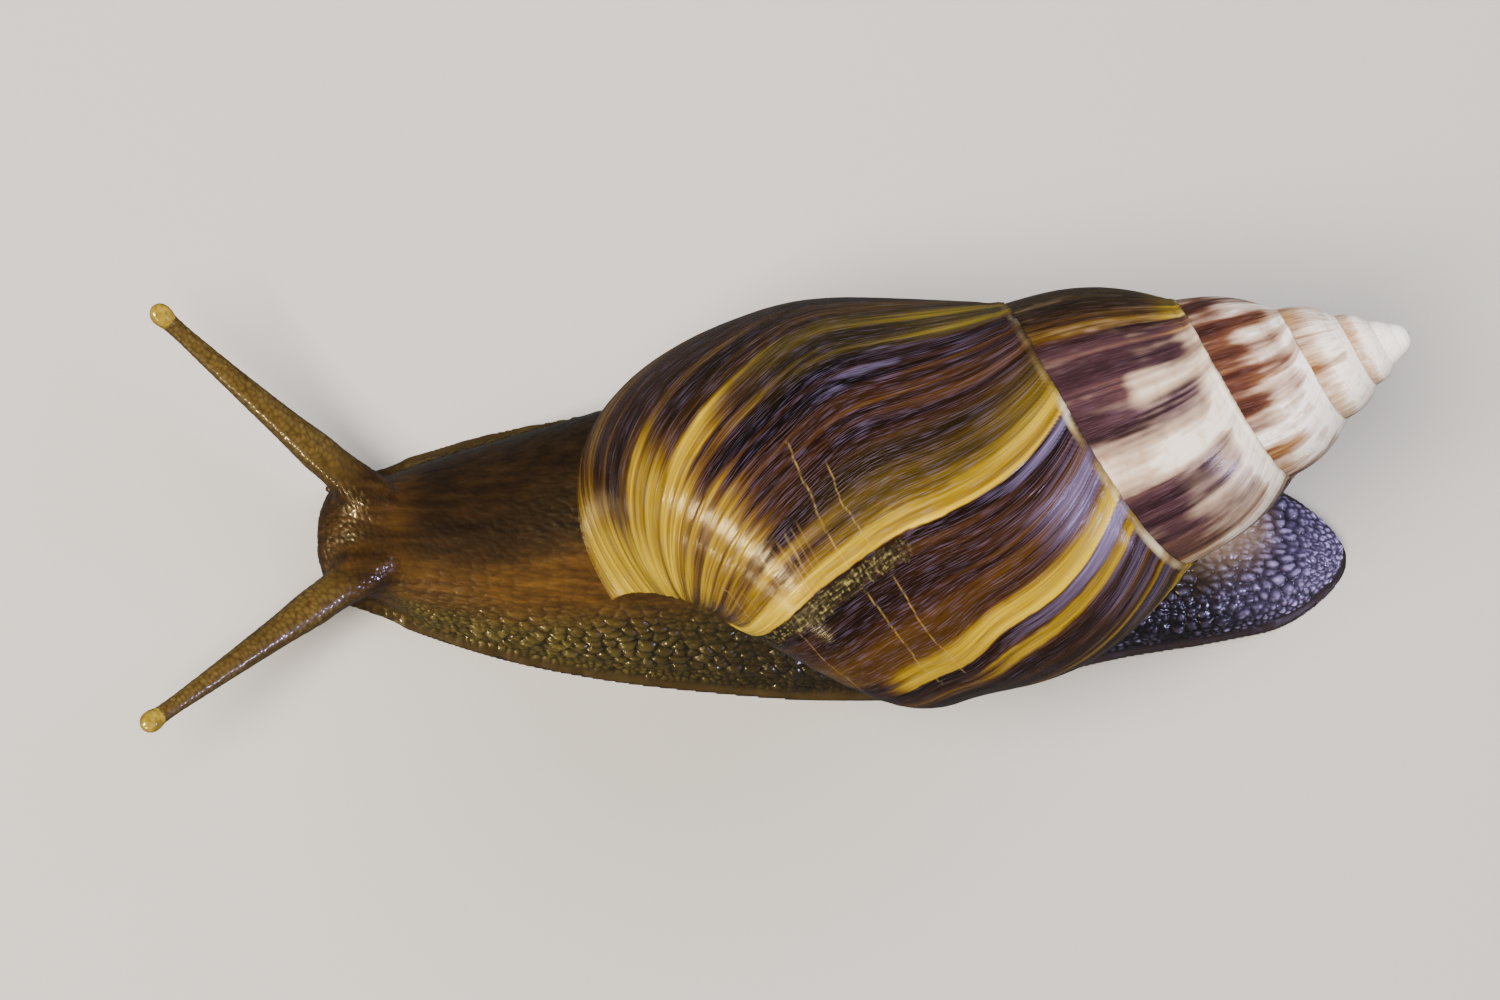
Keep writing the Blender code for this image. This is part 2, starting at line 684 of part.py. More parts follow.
def slice_between(source, name, y_start, y_end):
    """Copy the length of a solid between two planes across Y, with closed ends."""
    work = bmesh.new()
    work.from_mesh(source.data)
    bmesh.ops.remove_doubles(work, verts=work.verts, dist=WELD)
    bmesh.ops.triangulate(work, faces=work.faces)
    for y, normal in ((y_start, -1.0), (y_end, 1.0)):
        everything = work.verts[:] + work.edges[:] + work.faces[:]
        cut = bmesh.ops.bisect_plane(
            work,
            geom=everything,
            plane_co=(0.0, y, 0.0),
            plane_no=(0.0, normal, 0.0),
            clear_outer=True,
        )
        rim = [e for e in cut["geom_cut"] if isinstance(e, bmesh.types.BMEdge)]
        if rim:
            bmesh.ops.triangle_fill(work, edges=rim, use_beauty=True)
    bmesh.ops.remove_doubles(work, verts=work.verts, dist=WELD)
    bmesh.ops.triangulate(work, faces=work.faces)
    bmesh.ops.recalc_face_normals(work, faces=work.faces)
    mesh = bpy.data.meshes.new(name)
    work.to_mesh(mesh)
    work.free()
    mesh.shade_smooth()
    mesh.set_sharp_from_angle(angle=math.radians(50.0))
    mesh.materials.append(material("flesh"))
    piece = bpy.data.objects.new(name, mesh)
    bpy.context.scene.collection.objects.link(piece)
    return piece


def add_flesh():
    """Head, neck and foot, cut clear of the shell and the mantle, then parted into lengths."""
    solid("mantle", *mantle_mesh(), "flesh")
    turn = whorl_mesh(*WHORLS[-1][1:], grow=GAP, recess=0.0)
    shell_cutter = hide_cutter(solid("shell_cutter", *turn, "flesh"))
    mantle_cutter = hide_cutter(solid("mantle_cutter", *mantle_mesh(GAP), "flesh"))
    whole = hide_cutter(solid("whole_flesh", *flesh_mesh(), "flesh"))
    subtract(whole, shell_cutter)
    subtract(whole, mantle_cutter)
    y_start = STATIONS[0][0] * MM - GAP
    for name, end_mm in CUTS:
        slice_between(whole, name, y_start + GAP / 2, end_mm * MM - GAP / 2)
        y_start = end_mm * MM
    for thing in (shell_cutter, mantle_cutter, whole):
        bpy.data.objects.remove(thing, do_unlink=True)


def add_lips(head_cutter):
    """The soft lips under the front of the head."""
    work = bmesh.new()
    bmesh.ops.create_uvsphere(work, u_segments=LIPS_SEGMENTS, v_segments=LIPS_SEGMENTS // 2, radius=1.0)
    place = Matrix.Translation(LIPS_CENTRE) @ Matrix.Diagonal((*LIPS_SIZE, 1.0))
    bmesh.ops.transform(work, matrix=place, verts=work.verts)
    verts = [v.co.copy() for v in work.verts]
    faces = [tuple(v.index for v in f.verts) for f in work.faces]
    work.free()
    subtract(solid("lips", verts, faces, "flesh"), head_cutter)


def build():
    """Build the whole snail."""
    clear_scene()
    add_shell()
    add_flesh()
    head_cutter = hide_cutter(solid("head_cutter", *flesh_mesh(GAP), "flesh"))
    add_feelers(head_cutter)
    add_lips(head_cutter)
    bpy.data.objects.remove(head_cutter, do_unlink=True)


build()
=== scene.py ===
"""Looks of a crawling giant African land snail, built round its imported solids.

Lengths are in millimetres until a mesh is made, and in metres after that. +Z is up, the head points
towards -Y and the snail's left is +X.
"""

import functools
import itertools
import math

import bmesh
import bpy
import numpy as np
from mathutils import Matrix, Vector
from mathutils.kdtree import KDTree


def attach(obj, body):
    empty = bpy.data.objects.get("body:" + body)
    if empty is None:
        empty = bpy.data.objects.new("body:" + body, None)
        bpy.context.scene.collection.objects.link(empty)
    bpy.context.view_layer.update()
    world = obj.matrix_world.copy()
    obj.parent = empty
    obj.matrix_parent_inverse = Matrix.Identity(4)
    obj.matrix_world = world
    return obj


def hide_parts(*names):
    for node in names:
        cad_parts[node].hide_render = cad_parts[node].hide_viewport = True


MM = 0.001
TURN = 2 * math.pi
TINY = 1e-12  # keeps a vector of no length from dividing by 0
FAR = 99.0  # stands for places that are not near
WAVE_STEPS, TILE = 4096, 256  # sizes of the random tables, which repeat

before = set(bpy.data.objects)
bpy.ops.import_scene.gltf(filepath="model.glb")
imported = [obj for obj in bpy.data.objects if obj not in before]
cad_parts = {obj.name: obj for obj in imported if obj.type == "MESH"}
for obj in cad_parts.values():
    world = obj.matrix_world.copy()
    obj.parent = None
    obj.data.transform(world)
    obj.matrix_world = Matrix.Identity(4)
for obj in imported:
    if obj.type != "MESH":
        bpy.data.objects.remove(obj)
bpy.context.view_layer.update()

# ---------------------------------------------------------------- sizes
# Shell: the same spiral law as the solids. Turns are counted back from the lip.
AXIS_PITCH = math.radians(23)
AXIS_YAW = math.radians(20.4)
LIP_AZIMUTH = math.radians(128.6)
SUTURE_DEPTH, SUTURE_RADIUS = 38, 17.7
DEPTH_RATE, RADIUS_RATE = 1.771, 1.512
LIP_SETTLING, SETTLING_TURN = 0.8, 0.36
UPPER_WHORLS = np.array(  # turn, shares of the suture's radius and depth
    (
        (0.8, 1, 1), (1.1, 0.965, 1), (1.6, 0.97, 1), (2.1, 0.92, 1), (2.6, 0.9, 1),
        (3.35, 0.86, 1), (4.35, 0.82, 1), (5.35, 0.88, 0.95), (6.35, 0.98, 0.84), (7.35, 0.95, 0.9),
        (9, 0.8, 1.6),
    )
)
WHORL_BULGES = ((1, 2, 3, 4, 4.8, 5.4), (0.085, 0.09, 0.11, 0.125, 0.12, 0.02))
SPIRE_LEAN, LEAN_DEPTHS, TIP_DEPTH = np.array((0.4, 0.28, 0)), (24, 14), 0.36
WIDEST_DEPTH, WIDEST_DEPTH_RATE = 63.9, 1.39
WIDEST_RADIUS, WIDEST_RADIUS_RATE = 25.5, 1.64
BASE_DEPTH, BASE_DEPTH_RATE = 84.6, 1.372
COLUMELLA_RADIUS = 2.4
SHOULDER_ANGLE, SHOULDER_ANGLE_GAIN = math.radians(22.5), math.radians(-16.5)
BASE_ANGLE_START, BASE_ANGLE_GAIN = math.radians(42.5), math.radians(64)
SHOULDER_HANDLE, WIDEST_HANDLE, BASE_HANDLE = 0.66, 0.28, 0.67
LIP_LAG = math.radians(25)
SHELL_INSET = 0.08  # keeps ridges inside the solids' outline
SHELL_WALL = 0.9
SUTURE_TUCK = 0.9  # how deep a whorl's upper edge goes in under the suture
OUTLINE_LENGTH = 78  # of the last whorl, from the suture to the base
WORN_SMOOTH = 0.55  # relief left on a whorl, as a share of that on the whorl below it
INSIDE_TURN = 0.16  # how far the inner face runs back from the lip
SUTURE_SHARE = 0.33  # share of the last whorl's outline that is as wide as an earlier whorl
SPIRE_TURNS = 9
BODY_GRID = (1200, 300)
SPIRE_GRID = (900, 110)  # steps for each turn, and across a whorl; they thin out upwards

# Streaks of the last whorl: turn back from the lip, tone. Tone runs from 0, almost black, through
# chestnut at 0.4 and olive at 0.6 to bright yellow at 1.
BODY_STREAKS = (
    (-0.1, 0.38), (-0.02, 0.36), (0.01, 0.26), (0.03, 0.36), (0.045, 0.24), (0.055, 0.38), (0.07, 0.24),
    (0.085, 0.34), (0.098, 0.2), (0.105, 0.3), (0.112, 0.2), (0.12, 0.27), (0.127, 0.22), (0.13, 0.36),
    (0.134, 0.41), (0.146, 0.39), (0.15, 0.32), (0.153, 0.22), (0.16, 0.23), (0.163, 0.34),
    (0.167, 0.25), (0.172, 0.32), (0.177, 0.22), (0.18, 0.14), (0.19, 0.12), (0.203, 0.14),
    (0.207, 0.28), (0.213, 0.18), (0.222, 0.26), (0.227, 0.16), (0.234, 0.24), (0.24, 0.14),
    (0.247, 0.12), (0.255, 0.2), (0.27, 0.27), (0.285, 0.3), (0.294, 0.45), (0.298, 0.72), (0.303, 0.8),
    (0.3135, 0.83), (0.3152, 0.12), (0.322, 0.14), (0.327, 0.24), (0.333, 0.14), (0.34, 0.22),
    (0.348, 0.18), (0.354, 0.24), (0.357, 0.34), (0.36, 0.24), (0.37, 0.3), (0.38, 0.24), (0.39, 0.34),
    (0.394, 0.66), (0.398, 0.82), (0.416, 0.88), (0.4185, 0.22), (0.428, 0.31), (0.4315, 0.3),
    (0.435, 0.7), (0.447, 0.74), (0.451, 0.34), (0.46, 0.22), (0.475, 0.26), (0.49, 0.22),
    (0.498, 0.32), (0.502, 0.6), (0.506, 0.34), (0.511, 0.62), (0.518, 0.58), (0.522, 0.26),
    (0.534, 0.3), (0.539, 0.6), (0.544, 0.28), (0.556, 0.4), (0.57, 0.8), (0.59, 0.76), (0.596, 0.2),
    (0.64, 0.34), (0.652, 0.62), (0.66, 0.28), (0.7, 0.36), (0.712, 0.8), (0.735, 0.78), (0.74, 0.16),
    (0.79, 0.32), (0.806, 0.66), (0.815, 0.26), (0.86, 0.4), (0.876, 0.76), (0.9, 0.72), (0.906, 0.2),
    (0.96, 0.34), (1, 0.38),
)
# Earlier whorls: turn, tone, cream. Cream hides the tone.
SPIRE_STREAKS = (
    (1, 0.36, 0), (1.06, 0.2, 0), (1.148, 0.18, 0), (1.16, 0.42, 0.1), (1.166, 0.3, 0.05),
    (1.18, 0.46, 0.1), (1.19, 0.16, 0), (1.206, 0.22, 0), (1.21, 0.44, 0.1), (1.216, 0.14, 0),
    (1.244, 0.16, 0), (1.25, 0.3, 0.45), (1.258, 0.4, 0.85), (1.275, 0.4, 0.8), (1.285, 0.14, 0.3),
    (1.291, 0.12, 0.14), (1.305, 0.16, 0.15), (1.315, 0.4, 0.45), (1.326, 0.6, 0.9), (1.355, 0.7, 1),
    (1.363, 0.4, 0.75), (1.369, 0.18, 0.28), (1.4, 0.2, 0.28), (1.41, 0.34, 0.45), (1.424, 0.4, 0.5),
    (1.436, 0.34, 0.4), (1.48, 0.34, 0.34), (1.492, 0.6, 0.6), (1.5, 0.75, 1), (1.53, 0.75, 1),
    (1.545, 0.28, 0.4), (1.61, 0.32, 0.2), (1.625, 0.6, 0.9), (1.672, 0.6, 0.9), (1.685, 0.22, 0.2),
    (1.75, 0.32, 0.3), (1.765, 0.6, 0.9), (1.825, 0.6, 0.8), (1.838, 0.22, 0.2), (1.91, 0.34, 0.4),
    (1.925, 0.6, 0.9), (1.975, 0.6, 0.9), (1.985, 0.3, 0.3), (2.04, 0.4, 0.5), (2.06, 0.6, 0.8),
    (2.102, 0.55, 0.75), (2.113, 0.28, 0.4), (2.133, 0.32, 0.45), (2.144, 0.6, 0.8), (2.168, 0.6, 0.8),
    (2.178, 0.4, 0), (2.198, 0.42, 0.06), (2.209, 0.6, 0.75), (2.221, 0.6, 0.7), (2.228, 0.42, 0.32),
    (2.242, 0.46, 0.38), (2.25, 0.6, 0.8), (2.26, 0.6, 0.75), (2.268, 0.42, 0.16), (2.289, 0.44, 0.22),
    (2.297, 0.6, 0.8), (2.305, 0.6, 0.72), (2.312, 0.44, 0.42), (2.332, 0.46, 0.5), (2.343, 0.6, 0.86),
    (2.37, 0.62, 0.95), (2.44, 0.62, 1), (2.5, 0.62, 1), (2.515, 0.45, 0.6), (2.535, 0.55, 0.8),
    (2.6, 0.5, 0.95), (2.64, 0.36, 0.4), (2.665, 0.5, 0.9), (2.76, 0.5, 0.95), (2.78, 0.34, 0.4),
    (2.81, 0.5, 0.9), (2.9, 0.5, 0.95), (2.92, 0.36, 0.5), (2.95, 0.6, 0.9), (3.12, 0.7, 0.85),
    (3.16, 0.7, 0.8), (3.17, 0.6, 0.95), (3.208, 0.6, 0.95), (3.213, 0.55, 0.5), (3.218, 0.6, 0.95),
    (3.29, 0.7, 0.95), (3.3, 0.55, 0.65), (3.32, 0.7, 1), (3.5, 0.75, 1), (3.56, 0.75, 0.8),
    (3.6, 0.75, 1), (10, 0.75, 1),
)
# Pale scratches along the spiral: share of the outline, first turn, last turn.
SCRATCHES = (
    (0.405, 0.245, 0.314), (0.392, 0.337, 0.425), (0.472, 0.21, 0.314), (0.463, 0.337, 0.428),
    (0.555, 0.262, 0.314), (0.575, 0.27, 0.314), (0.63, 0.255, 0.314), (0.668, 0.33, 0.4),
    (0.775, 0.24, 0.314),
)

# Flesh: y, half width, height, sideways shift of the crest, height of the underside.
STATIONS = np.array(
    (
        (-56, 6.3, 8.4, 0, 3.4),
        (-52, 7, 10.4, 0, 1.2),
        (-45, 9.6, 11.4, -0.2, 0),
        (-36, 12.3, 13.2, -1.2, 0),
        (-26, 14.2, 16.5, -4.5, 0),
        (-14, 15.5, 20, -9, 0),
        (-2, 16.2, 20, -9.5, 0),
        (9, 15.7, 14, -4, 0),
        (19, 14, 9, -0.8, 0),
        (30, 11.4, 7.4, -0.3, 0),
        (42, 9.3, 5.8, -0.7, 0),
        (51, 7.2, 4, -0.9, 0),
        (56, 5.4, 3, -0.6, 0),
    )
)
HEAD_ROUNDING, TAIL_ROUNDING = 3.8, 10
FRINGE_WIDTH, FRINGE_HEIGHT, GROOVE_HEIGHT = 1.3, 1.2, 1.7
FRINGE_START = -50
BACK_STEPS = 22  # steps of a cross-section from the groove to the crest
SKIN_STEP = 0.18  # size of the skin's mesh
SKIN_INSET = 0.3  # keeps warts inside the solids' outline
SOFTEN_ROUNDS = 90  # of smoothing where the feelers grow out
UPPER_FEELERS = (
    ((-4.6, -51.5, 9.2), (-21.2, -72.8, 18.3)),
    ((4.1, -51.7, 9.2), (20.1, -73, 18.1)),
)
UPPER_FEELER_RADII = (
    (-0.1, 2.3), (-0.04, 2.7), (0, 2.7), (0.08, 2.35), (0.16, 2.05), (0.35, 1.56), (0.6, 1.16),
    (0.84, 0.86), (0.9, 0.86), (0.94, 0.95),
)
BULB_RADII = (
    (0.885, 0.5), (0.9, 0.8), (0.92, 0.93), (0.94, 1.06), (0.958, 1.09), (0.975, 0.98), (0.988, 0.74),
    (0.997, 0.36),
)
LOWER_FEELERS = (
    ((-4.3, -51.4, 4.2), (-5.6, -54.8, 1.3)),
    ((4.3, -51.4, 4.2), (5.6, -54.8, 1.3)),
)
LOWER_FEELER_RADII = ((0, 1.1), (0.4, 0.95), (0.75, 0.74), (0.9, 0.7), (0.98, 0.4))
UPPER_FEELER_SAG = 1.2
LIPS_CENTRE, LIPS_SIZE = (0, -53.4, 2.3), (2.9, 2.1, 1.4)

# Camera: it looks down on the snail from ahead and the left, with the snail's head to the left.
CAMERA_AIM = Vector((-3.1, -13.5, 20)) * MM
CAMERA_DISTANCE = 0.3542  # in metres
CAMERA_ELEVATION = math.radians(78.3)
CAMERA_AZIMUTH = math.radians(31.6)  # from straight ahead of the snail towards its left
CAMERA_ROLL = math.radians(-59)
CAMERA_LENS = 85

# Where streaks of the last whorl get brighter: gain, turns, shares of the outline.
BODY_BRIGHTER = (
    (0.46, -0.1, 0.06, 0.9, 1.1), (0.58, 0.06, 0.126, 0.88, 1.1), (0.42, 0.1, 0.127, 0.7, 1.1),
    (0.5, 0.128, 0.152, 0.57, 1.1), (0.12, 0.128, 0.175, -0.1, 0.12), (0.16, 0.25, 0.3, -0.1, 0.08),
    (0.55, 0.14, 0.185, 0.84, 1.1), (0.34, 0.185, 0.232, 0.82, 1.1), (0.14, 0.232, 0.275, 0.84, 1.1),
    # Own colour and painted highlight: these three rows also paint the sheen that falls across the last whorl
    # there.
    (0.5, 0.15, 0.18, 0.67, 0.86), (0.42, 0.18, 0.252, 0.6, 0.86), (0.3, 0.252, 0.276, 0.6, 0.86),
    (0.24, 0.276, 0.3135, 0.62, 1.1), (0.03, 0.336, 0.392, 0.3, 0.9), (0.12, 0.336, 0.392, 0.64, 0.92),
)
# Where earlier whorls get more or less cream: gain, turns, softness, shares of the whorl.
SPIRE_CREAMIER = (
    (0.75, 1.213, 1.245, 0.008, 0.22, 0.06), (0.75, 1.285, 1.53, 0.01, 0.22, 0.06),
    (0.24, 1.366, 1.475, 0.01, 0.44, 0.2), (-0.18, 1.315, 1.364, 0.01, 0.5, 0.85),
    (-0.42, 1.366, 1.495, 0.01, 0.5, 0.85), (-0.5, 1.495, 1.54, 0.01, 0.5, 0.85),
    (-0.6, 2, 2.365, 0.02, 0.5, 0.85),
)
# Colours over the tone, from 0 to 1, and the cream's colours over the turn divided by 7.
CHESTNUT_TO_YELLOW = (
    (0.02, "#0b0604"), (0.14, "#190d06"), (0.27, "#2b190a"), (0.4, "#40290b"), (0.52, "#58400a"),
    (0.64, "#755c07"), (0.76, "#947905"), (0.88, "#b39504"), (1, "#cfb012"),
)
OLIVE_GREEN = (
    (0.05, "#0c0a04"), (0.25, "#221c06"), (0.42, "#3f370a"), (0.6, "#6b5f0c"), (0.8, "#a08c0e"),
    (1, "#d6bb22"),
)
TIPWARD_CREAM = (
    (0.14, "#d2c49a"), (0.19, "#e6dacb"), (0.3, "#f6eeec"), (0.45, "#f4ebdf"), (0.6, "#f3e7de"),
    (0.8, "#f9f4ef"),
)

LAMPS = (  # place and size in metres, power, colour; True gives gloss only and False none
    ("sheen", (0.18, -0.53, 0.23), 0.12, 8, "#ffdf9c", True),
    ("cool", (0.28, 0.55, 0.3), 0.08, 2.6, "#c6beff", True),
    ("side", (0.42, -0.31, 0.09), 0.05, 1.3, "#ffe2a0", True),
    ("key", (0.1, -0.3, 0.62), 0.3, 12.5, "#fff6ea", False),
    ("fill", (-0.3, 0.3, 0.5), 0.5, 5, "#eef0ff", False),
)
LAMP_AIM = Vector((0, -0.01, 0.02))  # in metres
FLOOR_REACH = 3000

# Regions that the meshes store for their materials.
SHELL_LAYERS = ("tone", "olive", "laid", "bloom", "cream", "scratch", "rim", "worn")
# Of the skin's layers, shade is painted shade, dim darkens the back and paints shade on the right side, and
# tip is painted light on the tail's tip.
SKIN_LAYERS = ("wart", "neck", "tail", "crest", "fringe", "feeler", "shade", "collar", "dim", "tip")


# ---------------------------------------------------------------- small helpers
def ease(t):
    """Smooth rise from 0 to 1."""
    return t * t * (3 - 2 * t)


def limit(value):
    """A value kept between 0 and 1."""
    return np.clip(value, 0, 1)


def ramp(start, end, value):
    """0 before start, 1 after end, with a smooth rise between them."""
    return ease(limit((value - start) / (end - start)))


def bump_at(value, centre, width):
    """A smooth hill of height 1."""
    return np.exp(-(((value - centre) / width) ** 2))


def unit(vector):
    """Vectors of length 1."""
    return vector / (np.linalg.norm(vector, axis=-1, keepdims=True) + TINY)


def waves(x, period, seed):
    """Smooth irregular waves between 0 and 1 along one coordinate."""
    table = np.random.default_rng(seed).random(WAVE_STEPS)
    cell = np.floor(x / period).astype(int)
    t = ease(x / period - cell)
    return table[cell % WAVE_STEPS] * (1 - t) + table[(cell + 1) % WAVE_STEPS] * t


def blotches(u, v, seed):
    """Smooth irregular patches between 0 and 1 over two coordinates."""
    table = np.random.default_rng(seed).random((TILE, TILE))
    iu, iv = np.floor(u).astype(int), np.floor(v).astype(int)
    tu, tv = ease(u - iu), ease(v - iv)
    low, high = (
        table[iu % TILE, (iv + k) % TILE] * (1 - tu) + table[(iu + 1) % TILE, (iv + k) % TILE] * tu
        for k in (0, 1)
    )
    return low * (1 - tv) + high * tv


def domes(u, v, jitter, seed):
    """Rounded bumps from 0 to 1 that fill cells of different heights, with grooves between them."""
    table = np.random.default_rng(seed).random((TILE, TILE, 3))
    iu, iv = np.floor(u).astype(int), np.floor(v).astype(int)
    near, second, number = np.full(u.shape, FAR), np.full(u.shape, FAR), np.zeros(u.shape)
    for du, dv in itertools.product((-1, 0, 1), repeat=2):
        seeds = table[(iu + du) % TILE, (iv + dv) % TILE]
        row_shift = 0.25 * ((iv + dv) % 2)
        middle_u = iu + du + 0.25 + row_shift + jitter * (seeds[..., 0] - 0.5)
        middle_v = iv + dv + 0.5 + jitter * (seeds[..., 1] - 0.5)
        away = np.hypot(u - middle_u, v - middle_v)
        closer = away < near
        second = np.where(closer, near, np.minimum(second, away))
        number = np.where(closer, seeds[..., 2], number)
        near = np.where(closer, away, near)
    rise = 1 - np.exp(-(second - near) / 0.2)
    round_top = np.sqrt(limit(1 - (near / 0.75) ** 2))
    return rise * (0.12 + 0.88 * round_top) * (0.6 + 0.4 * number)


def colour(code):
    """Linear colour from a hex code in sRGB."""
    parts = [int(code[k : k + 2], 16) / 255 for k in (1, 3, 5)]
    return (*(c / 12.92 if c <= 0.04045 else ((c + 0.055) / 1.055) ** 2.4 for c in parts), 1)


def grid_quads(rows, columns, start=0, closed=False):
    """Quads over vertices stored row by row; a closed grid joins its last column to its first."""
    row = start + np.arange(rows - 1)[:, None] * columns
    here = np.arange(columns if closed else columns - 1)[None, :]
    after = (here + 1) % columns
    below = row + columns
    return np.stack([row + here, below + here, below + after, row + after], axis=-1).reshape(-1, 4)


def new_object(name, data):
    """An object in the scene."""
    thing = bpy.data.objects.new(name, data)
    bpy.context.scene.collection.objects.link(thing)
    return thing


def move_vertices(mesh, places_mm):
    """Put a mesh's vertices at places in millimetres."""
    mesh.vertices.foreach_set("co", (places_mm * MM).astype(np.float32).ravel())
    mesh.update()


def grid_object(name, verts_mm, quads, material):
    """A smooth-shaded object from large arrays of vertices and quads."""
    mesh = bpy.data.meshes.new(name)
    mesh.vertices.add(len(verts_mm))
    move_vertices(mesh, verts_mm)
    mesh.loops.add(quads.size)
    mesh.loops.foreach_set("vertex_index", quads.astype(np.int32).ravel())
    mesh.polygons.add(len(quads))
    mesh.polygons.foreach_set("loop_start", np.arange(0, quads.size, 4, dtype=np.int32))
    mesh.update(calc_edges=True)
    mesh.validate()
    mesh.shade_smooth()
    mesh.materials.append(material)
    return new_object(name, mesh)


def closed_object(name, verts_mm, faces):
    """An object from lists, with its faces turned outwards."""
    mesh = bpy.data.meshes.new(name)
    mesh.from_pydata([tuple(v) for v in np.asarray(verts_mm) * MM], [], faces)
    work = bmesh.new()
    work.from_mesh(mesh)
    bmesh.ops.recalc_face_normals(work, faces=work.faces)
    work.to_mesh(mesh)
    work.free()
    return new_object(name, mesh)


def vertex_array(mesh, normals=False):
    """Vertex places in millimetres, or vertex normals."""
    values = np.empty(len(mesh.vertices) * 3, np.float32)
    if normals:
        mesh.vertex_normals.foreach_get("vector", values)
    else:
        mesh.vertices.foreach_get("co", values)
    return values.reshape(-1, 3).astype(float) / (1 if normals else MM)


def store(mesh, name, values):
    """Keep one number, or a vector, for each vertex under a name that a material can read."""
    values = np.asarray(values, np.float32)
    kind, field = ("FLOAT_VECTOR", "vector") if values.ndim == 2 else ("FLOAT", "value")
    mesh.attributes.new(name, kind, "POINT").data.foreach_set(field, values.ravel())


def plug(node, inputs):
    """Fill a node's inputs, each with a number, a hex colour or an output of another node."""
    for key, value in inputs.items() if isinstance(inputs, dict) else enumerate(inputs):
        if isinstance(value, bpy.types.NodeSocket):
            node.id_data.links.new(value, node.inputs[key])
        else:
            node.inputs[key].default_value = colour(value) if isinstance(value, str) else value


def add_node(tree, kind, inputs=(), out=0, stops=(), **settings):
    """Add a shader node with its settings, colour stops and links, and give one of its outputs."""
    node = tree.nodes.new("ShaderNode" + kind)
    for key, value in settings.items():
        setattr(node, key, value)
    plug(node, inputs)
    while stops and len(node.color_ramp.elements) < len(stops):
        node.color_ramp.elements.new(0.5)
    for k, (place, code) in enumerate(stops):
        element = node.color_ramp.elements[k]
        element.position, element.color = place, colour(code)
    return node.outputs[out]


def new_material(name):
    """A material, what adds a node to it, and its shader."""
    made = bpy.data.materials.new(name)
    made.use_nodes = True
    tree = made.node_tree
    return made, functools.partial(add_node, tree), tree.nodes["Principled BSDF"]


# ---------------------------------------------------------------- shell's shape
def shell_frame():
    """The shell's axis, its upward side and its side towards the snail's right."""
    flat = math.cos(AXIS_PITCH)
    axis = np.array((flat * math.sin(AXIS_YAW), -flat * math.cos(AXIS_YAW), -math.sin(AXIS_PITCH)))
    side = unit(np.cross(axis, (0, 0, 1)))
    return axis, np.cross(side, axis), side


AXIS, UPWARD, SIDE = shell_frame()
tip_places = vertex_array(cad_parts["shell_protoconch"].data)
APEX = tip_places[np.argmin(tip_places @ AXIS)] - SPIRE_LEAN - TIP_DEPTH * AXIS


def shell_places(depth, radius, turn):
    """Places of points given round the shell's axis."""
    azimuth = LIP_AZIMUTH - turn * TURN
    around = np.cos(azimuth)[..., None] * UPWARD + np.sin(azimuth)[..., None] * SIDE
    lean = ramp(*LEAN_DEPTHS, depth)[..., None] * SPIRE_LEAN
    return APEX + depth[..., None] * AXIS + radius[..., None] * around + lean


def suture(turn):
    """Depth and radius of the suture."""
    settled = np.exp(-LIP_SETTLING * np.maximum(0, SETTLING_TURN - turn) ** 2)
    narrow, deep = (np.interp(turn, UPPER_WHORLS[:, 0], UPPER_WHORLS[:, k]) for k in (1, 2))
    return SUTURE_DEPTH * DEPTH_RATE**-turn * deep, SUTURE_RADIUS * RADIUS_RATE**-turn * settled * narrow


def curve(points, t):
    """Cubic curve through four control points of (depth, radius)."""
    s = 1 - t
    weights = (s**3, 3 * s * s * t, 3 * s * t * t, t**3)
    return [sum(w * p[k] for w, p in zip(weights, points)) for k in (0, 1)]


def spire_outline(turn, share):
    """Depth and radius on an early whorl, from its suture to the next one."""
    top, low = suture(turn), suture(turn - 1)
    run, rise = low[0] - top[0], low[1] - top[1]
    bulge = np.interp(turn, *WHORL_BULGES) * np.sin(np.pi * share) * ramp(9, 7, turn)
    return top[0] + run * share - rise * bulge, top[1] + rise * share + run * bulge


def body_outline(turn, share):
    """Depth and radius on the last whorl, from the suture round to the columella."""
    top = suture(turn)
    widest = (WIDEST_DEPTH * WIDEST_DEPTH_RATE**-turn, WIDEST_RADIUS * WIDEST_RADIUS_RATE**-turn)
    base = (BASE_DEPTH * BASE_DEPTH_RATE**-turn, np.full_like(turn, COLUMELLA_RADIUS))
    leave = SHOULDER_ANGLE - SHOULDER_ANGLE_GAIN * turn
    arrive = BASE_ANGLE_START + BASE_ANGLE_GAIN * ramp(-0.66, -0.06, -turn)
    upper_span = np.hypot(widest[0] - top[0], widest[1] - top[1])
    lower_span = np.hypot(base[0] - widest[0], base[1] - widest[1])
    out, back = SHOULDER_HANDLE * upper_span, BASE_HANDLE * lower_span
    shoulder = (top[0] + np.cos(leave) * out, top[1] + np.sin(leave) * out)
    before = (widest[0] - WIDEST_HANDLE * upper_span, widest[1])
    after = (widest[0] + WIDEST_HANDLE * lower_span, widest[1])
    heel = (base[0] - np.cos(arrive) * back, base[1] + np.sin(arrive) * back)
    upper = curve((top, shoulder, before, widest), limit(2 * share))
    lower = curve((widest, after, heel, base), limit(2 * share - 1))
    return [np.where(share < 0.5, u, low) for u, low in zip(upper, lower)]


def growth_lag(laid, share):
    """How far a growth line lags behind its upper end: soon after the suture, then towards the base."""
    lag = 20 * (1 - np.exp(-share / 0.06))
    sweep = np.interp(laid, (0.13, 0.32), (105, 48)) * np.maximum(0, share - 0.25) ** 1.65
    shift = 7 * ramp(0.33, 0.41, laid) * ramp(0.2, 0.4, share)
    return np.radians(lag + (sweep + shift) * ramp(1, 0.8, laid))


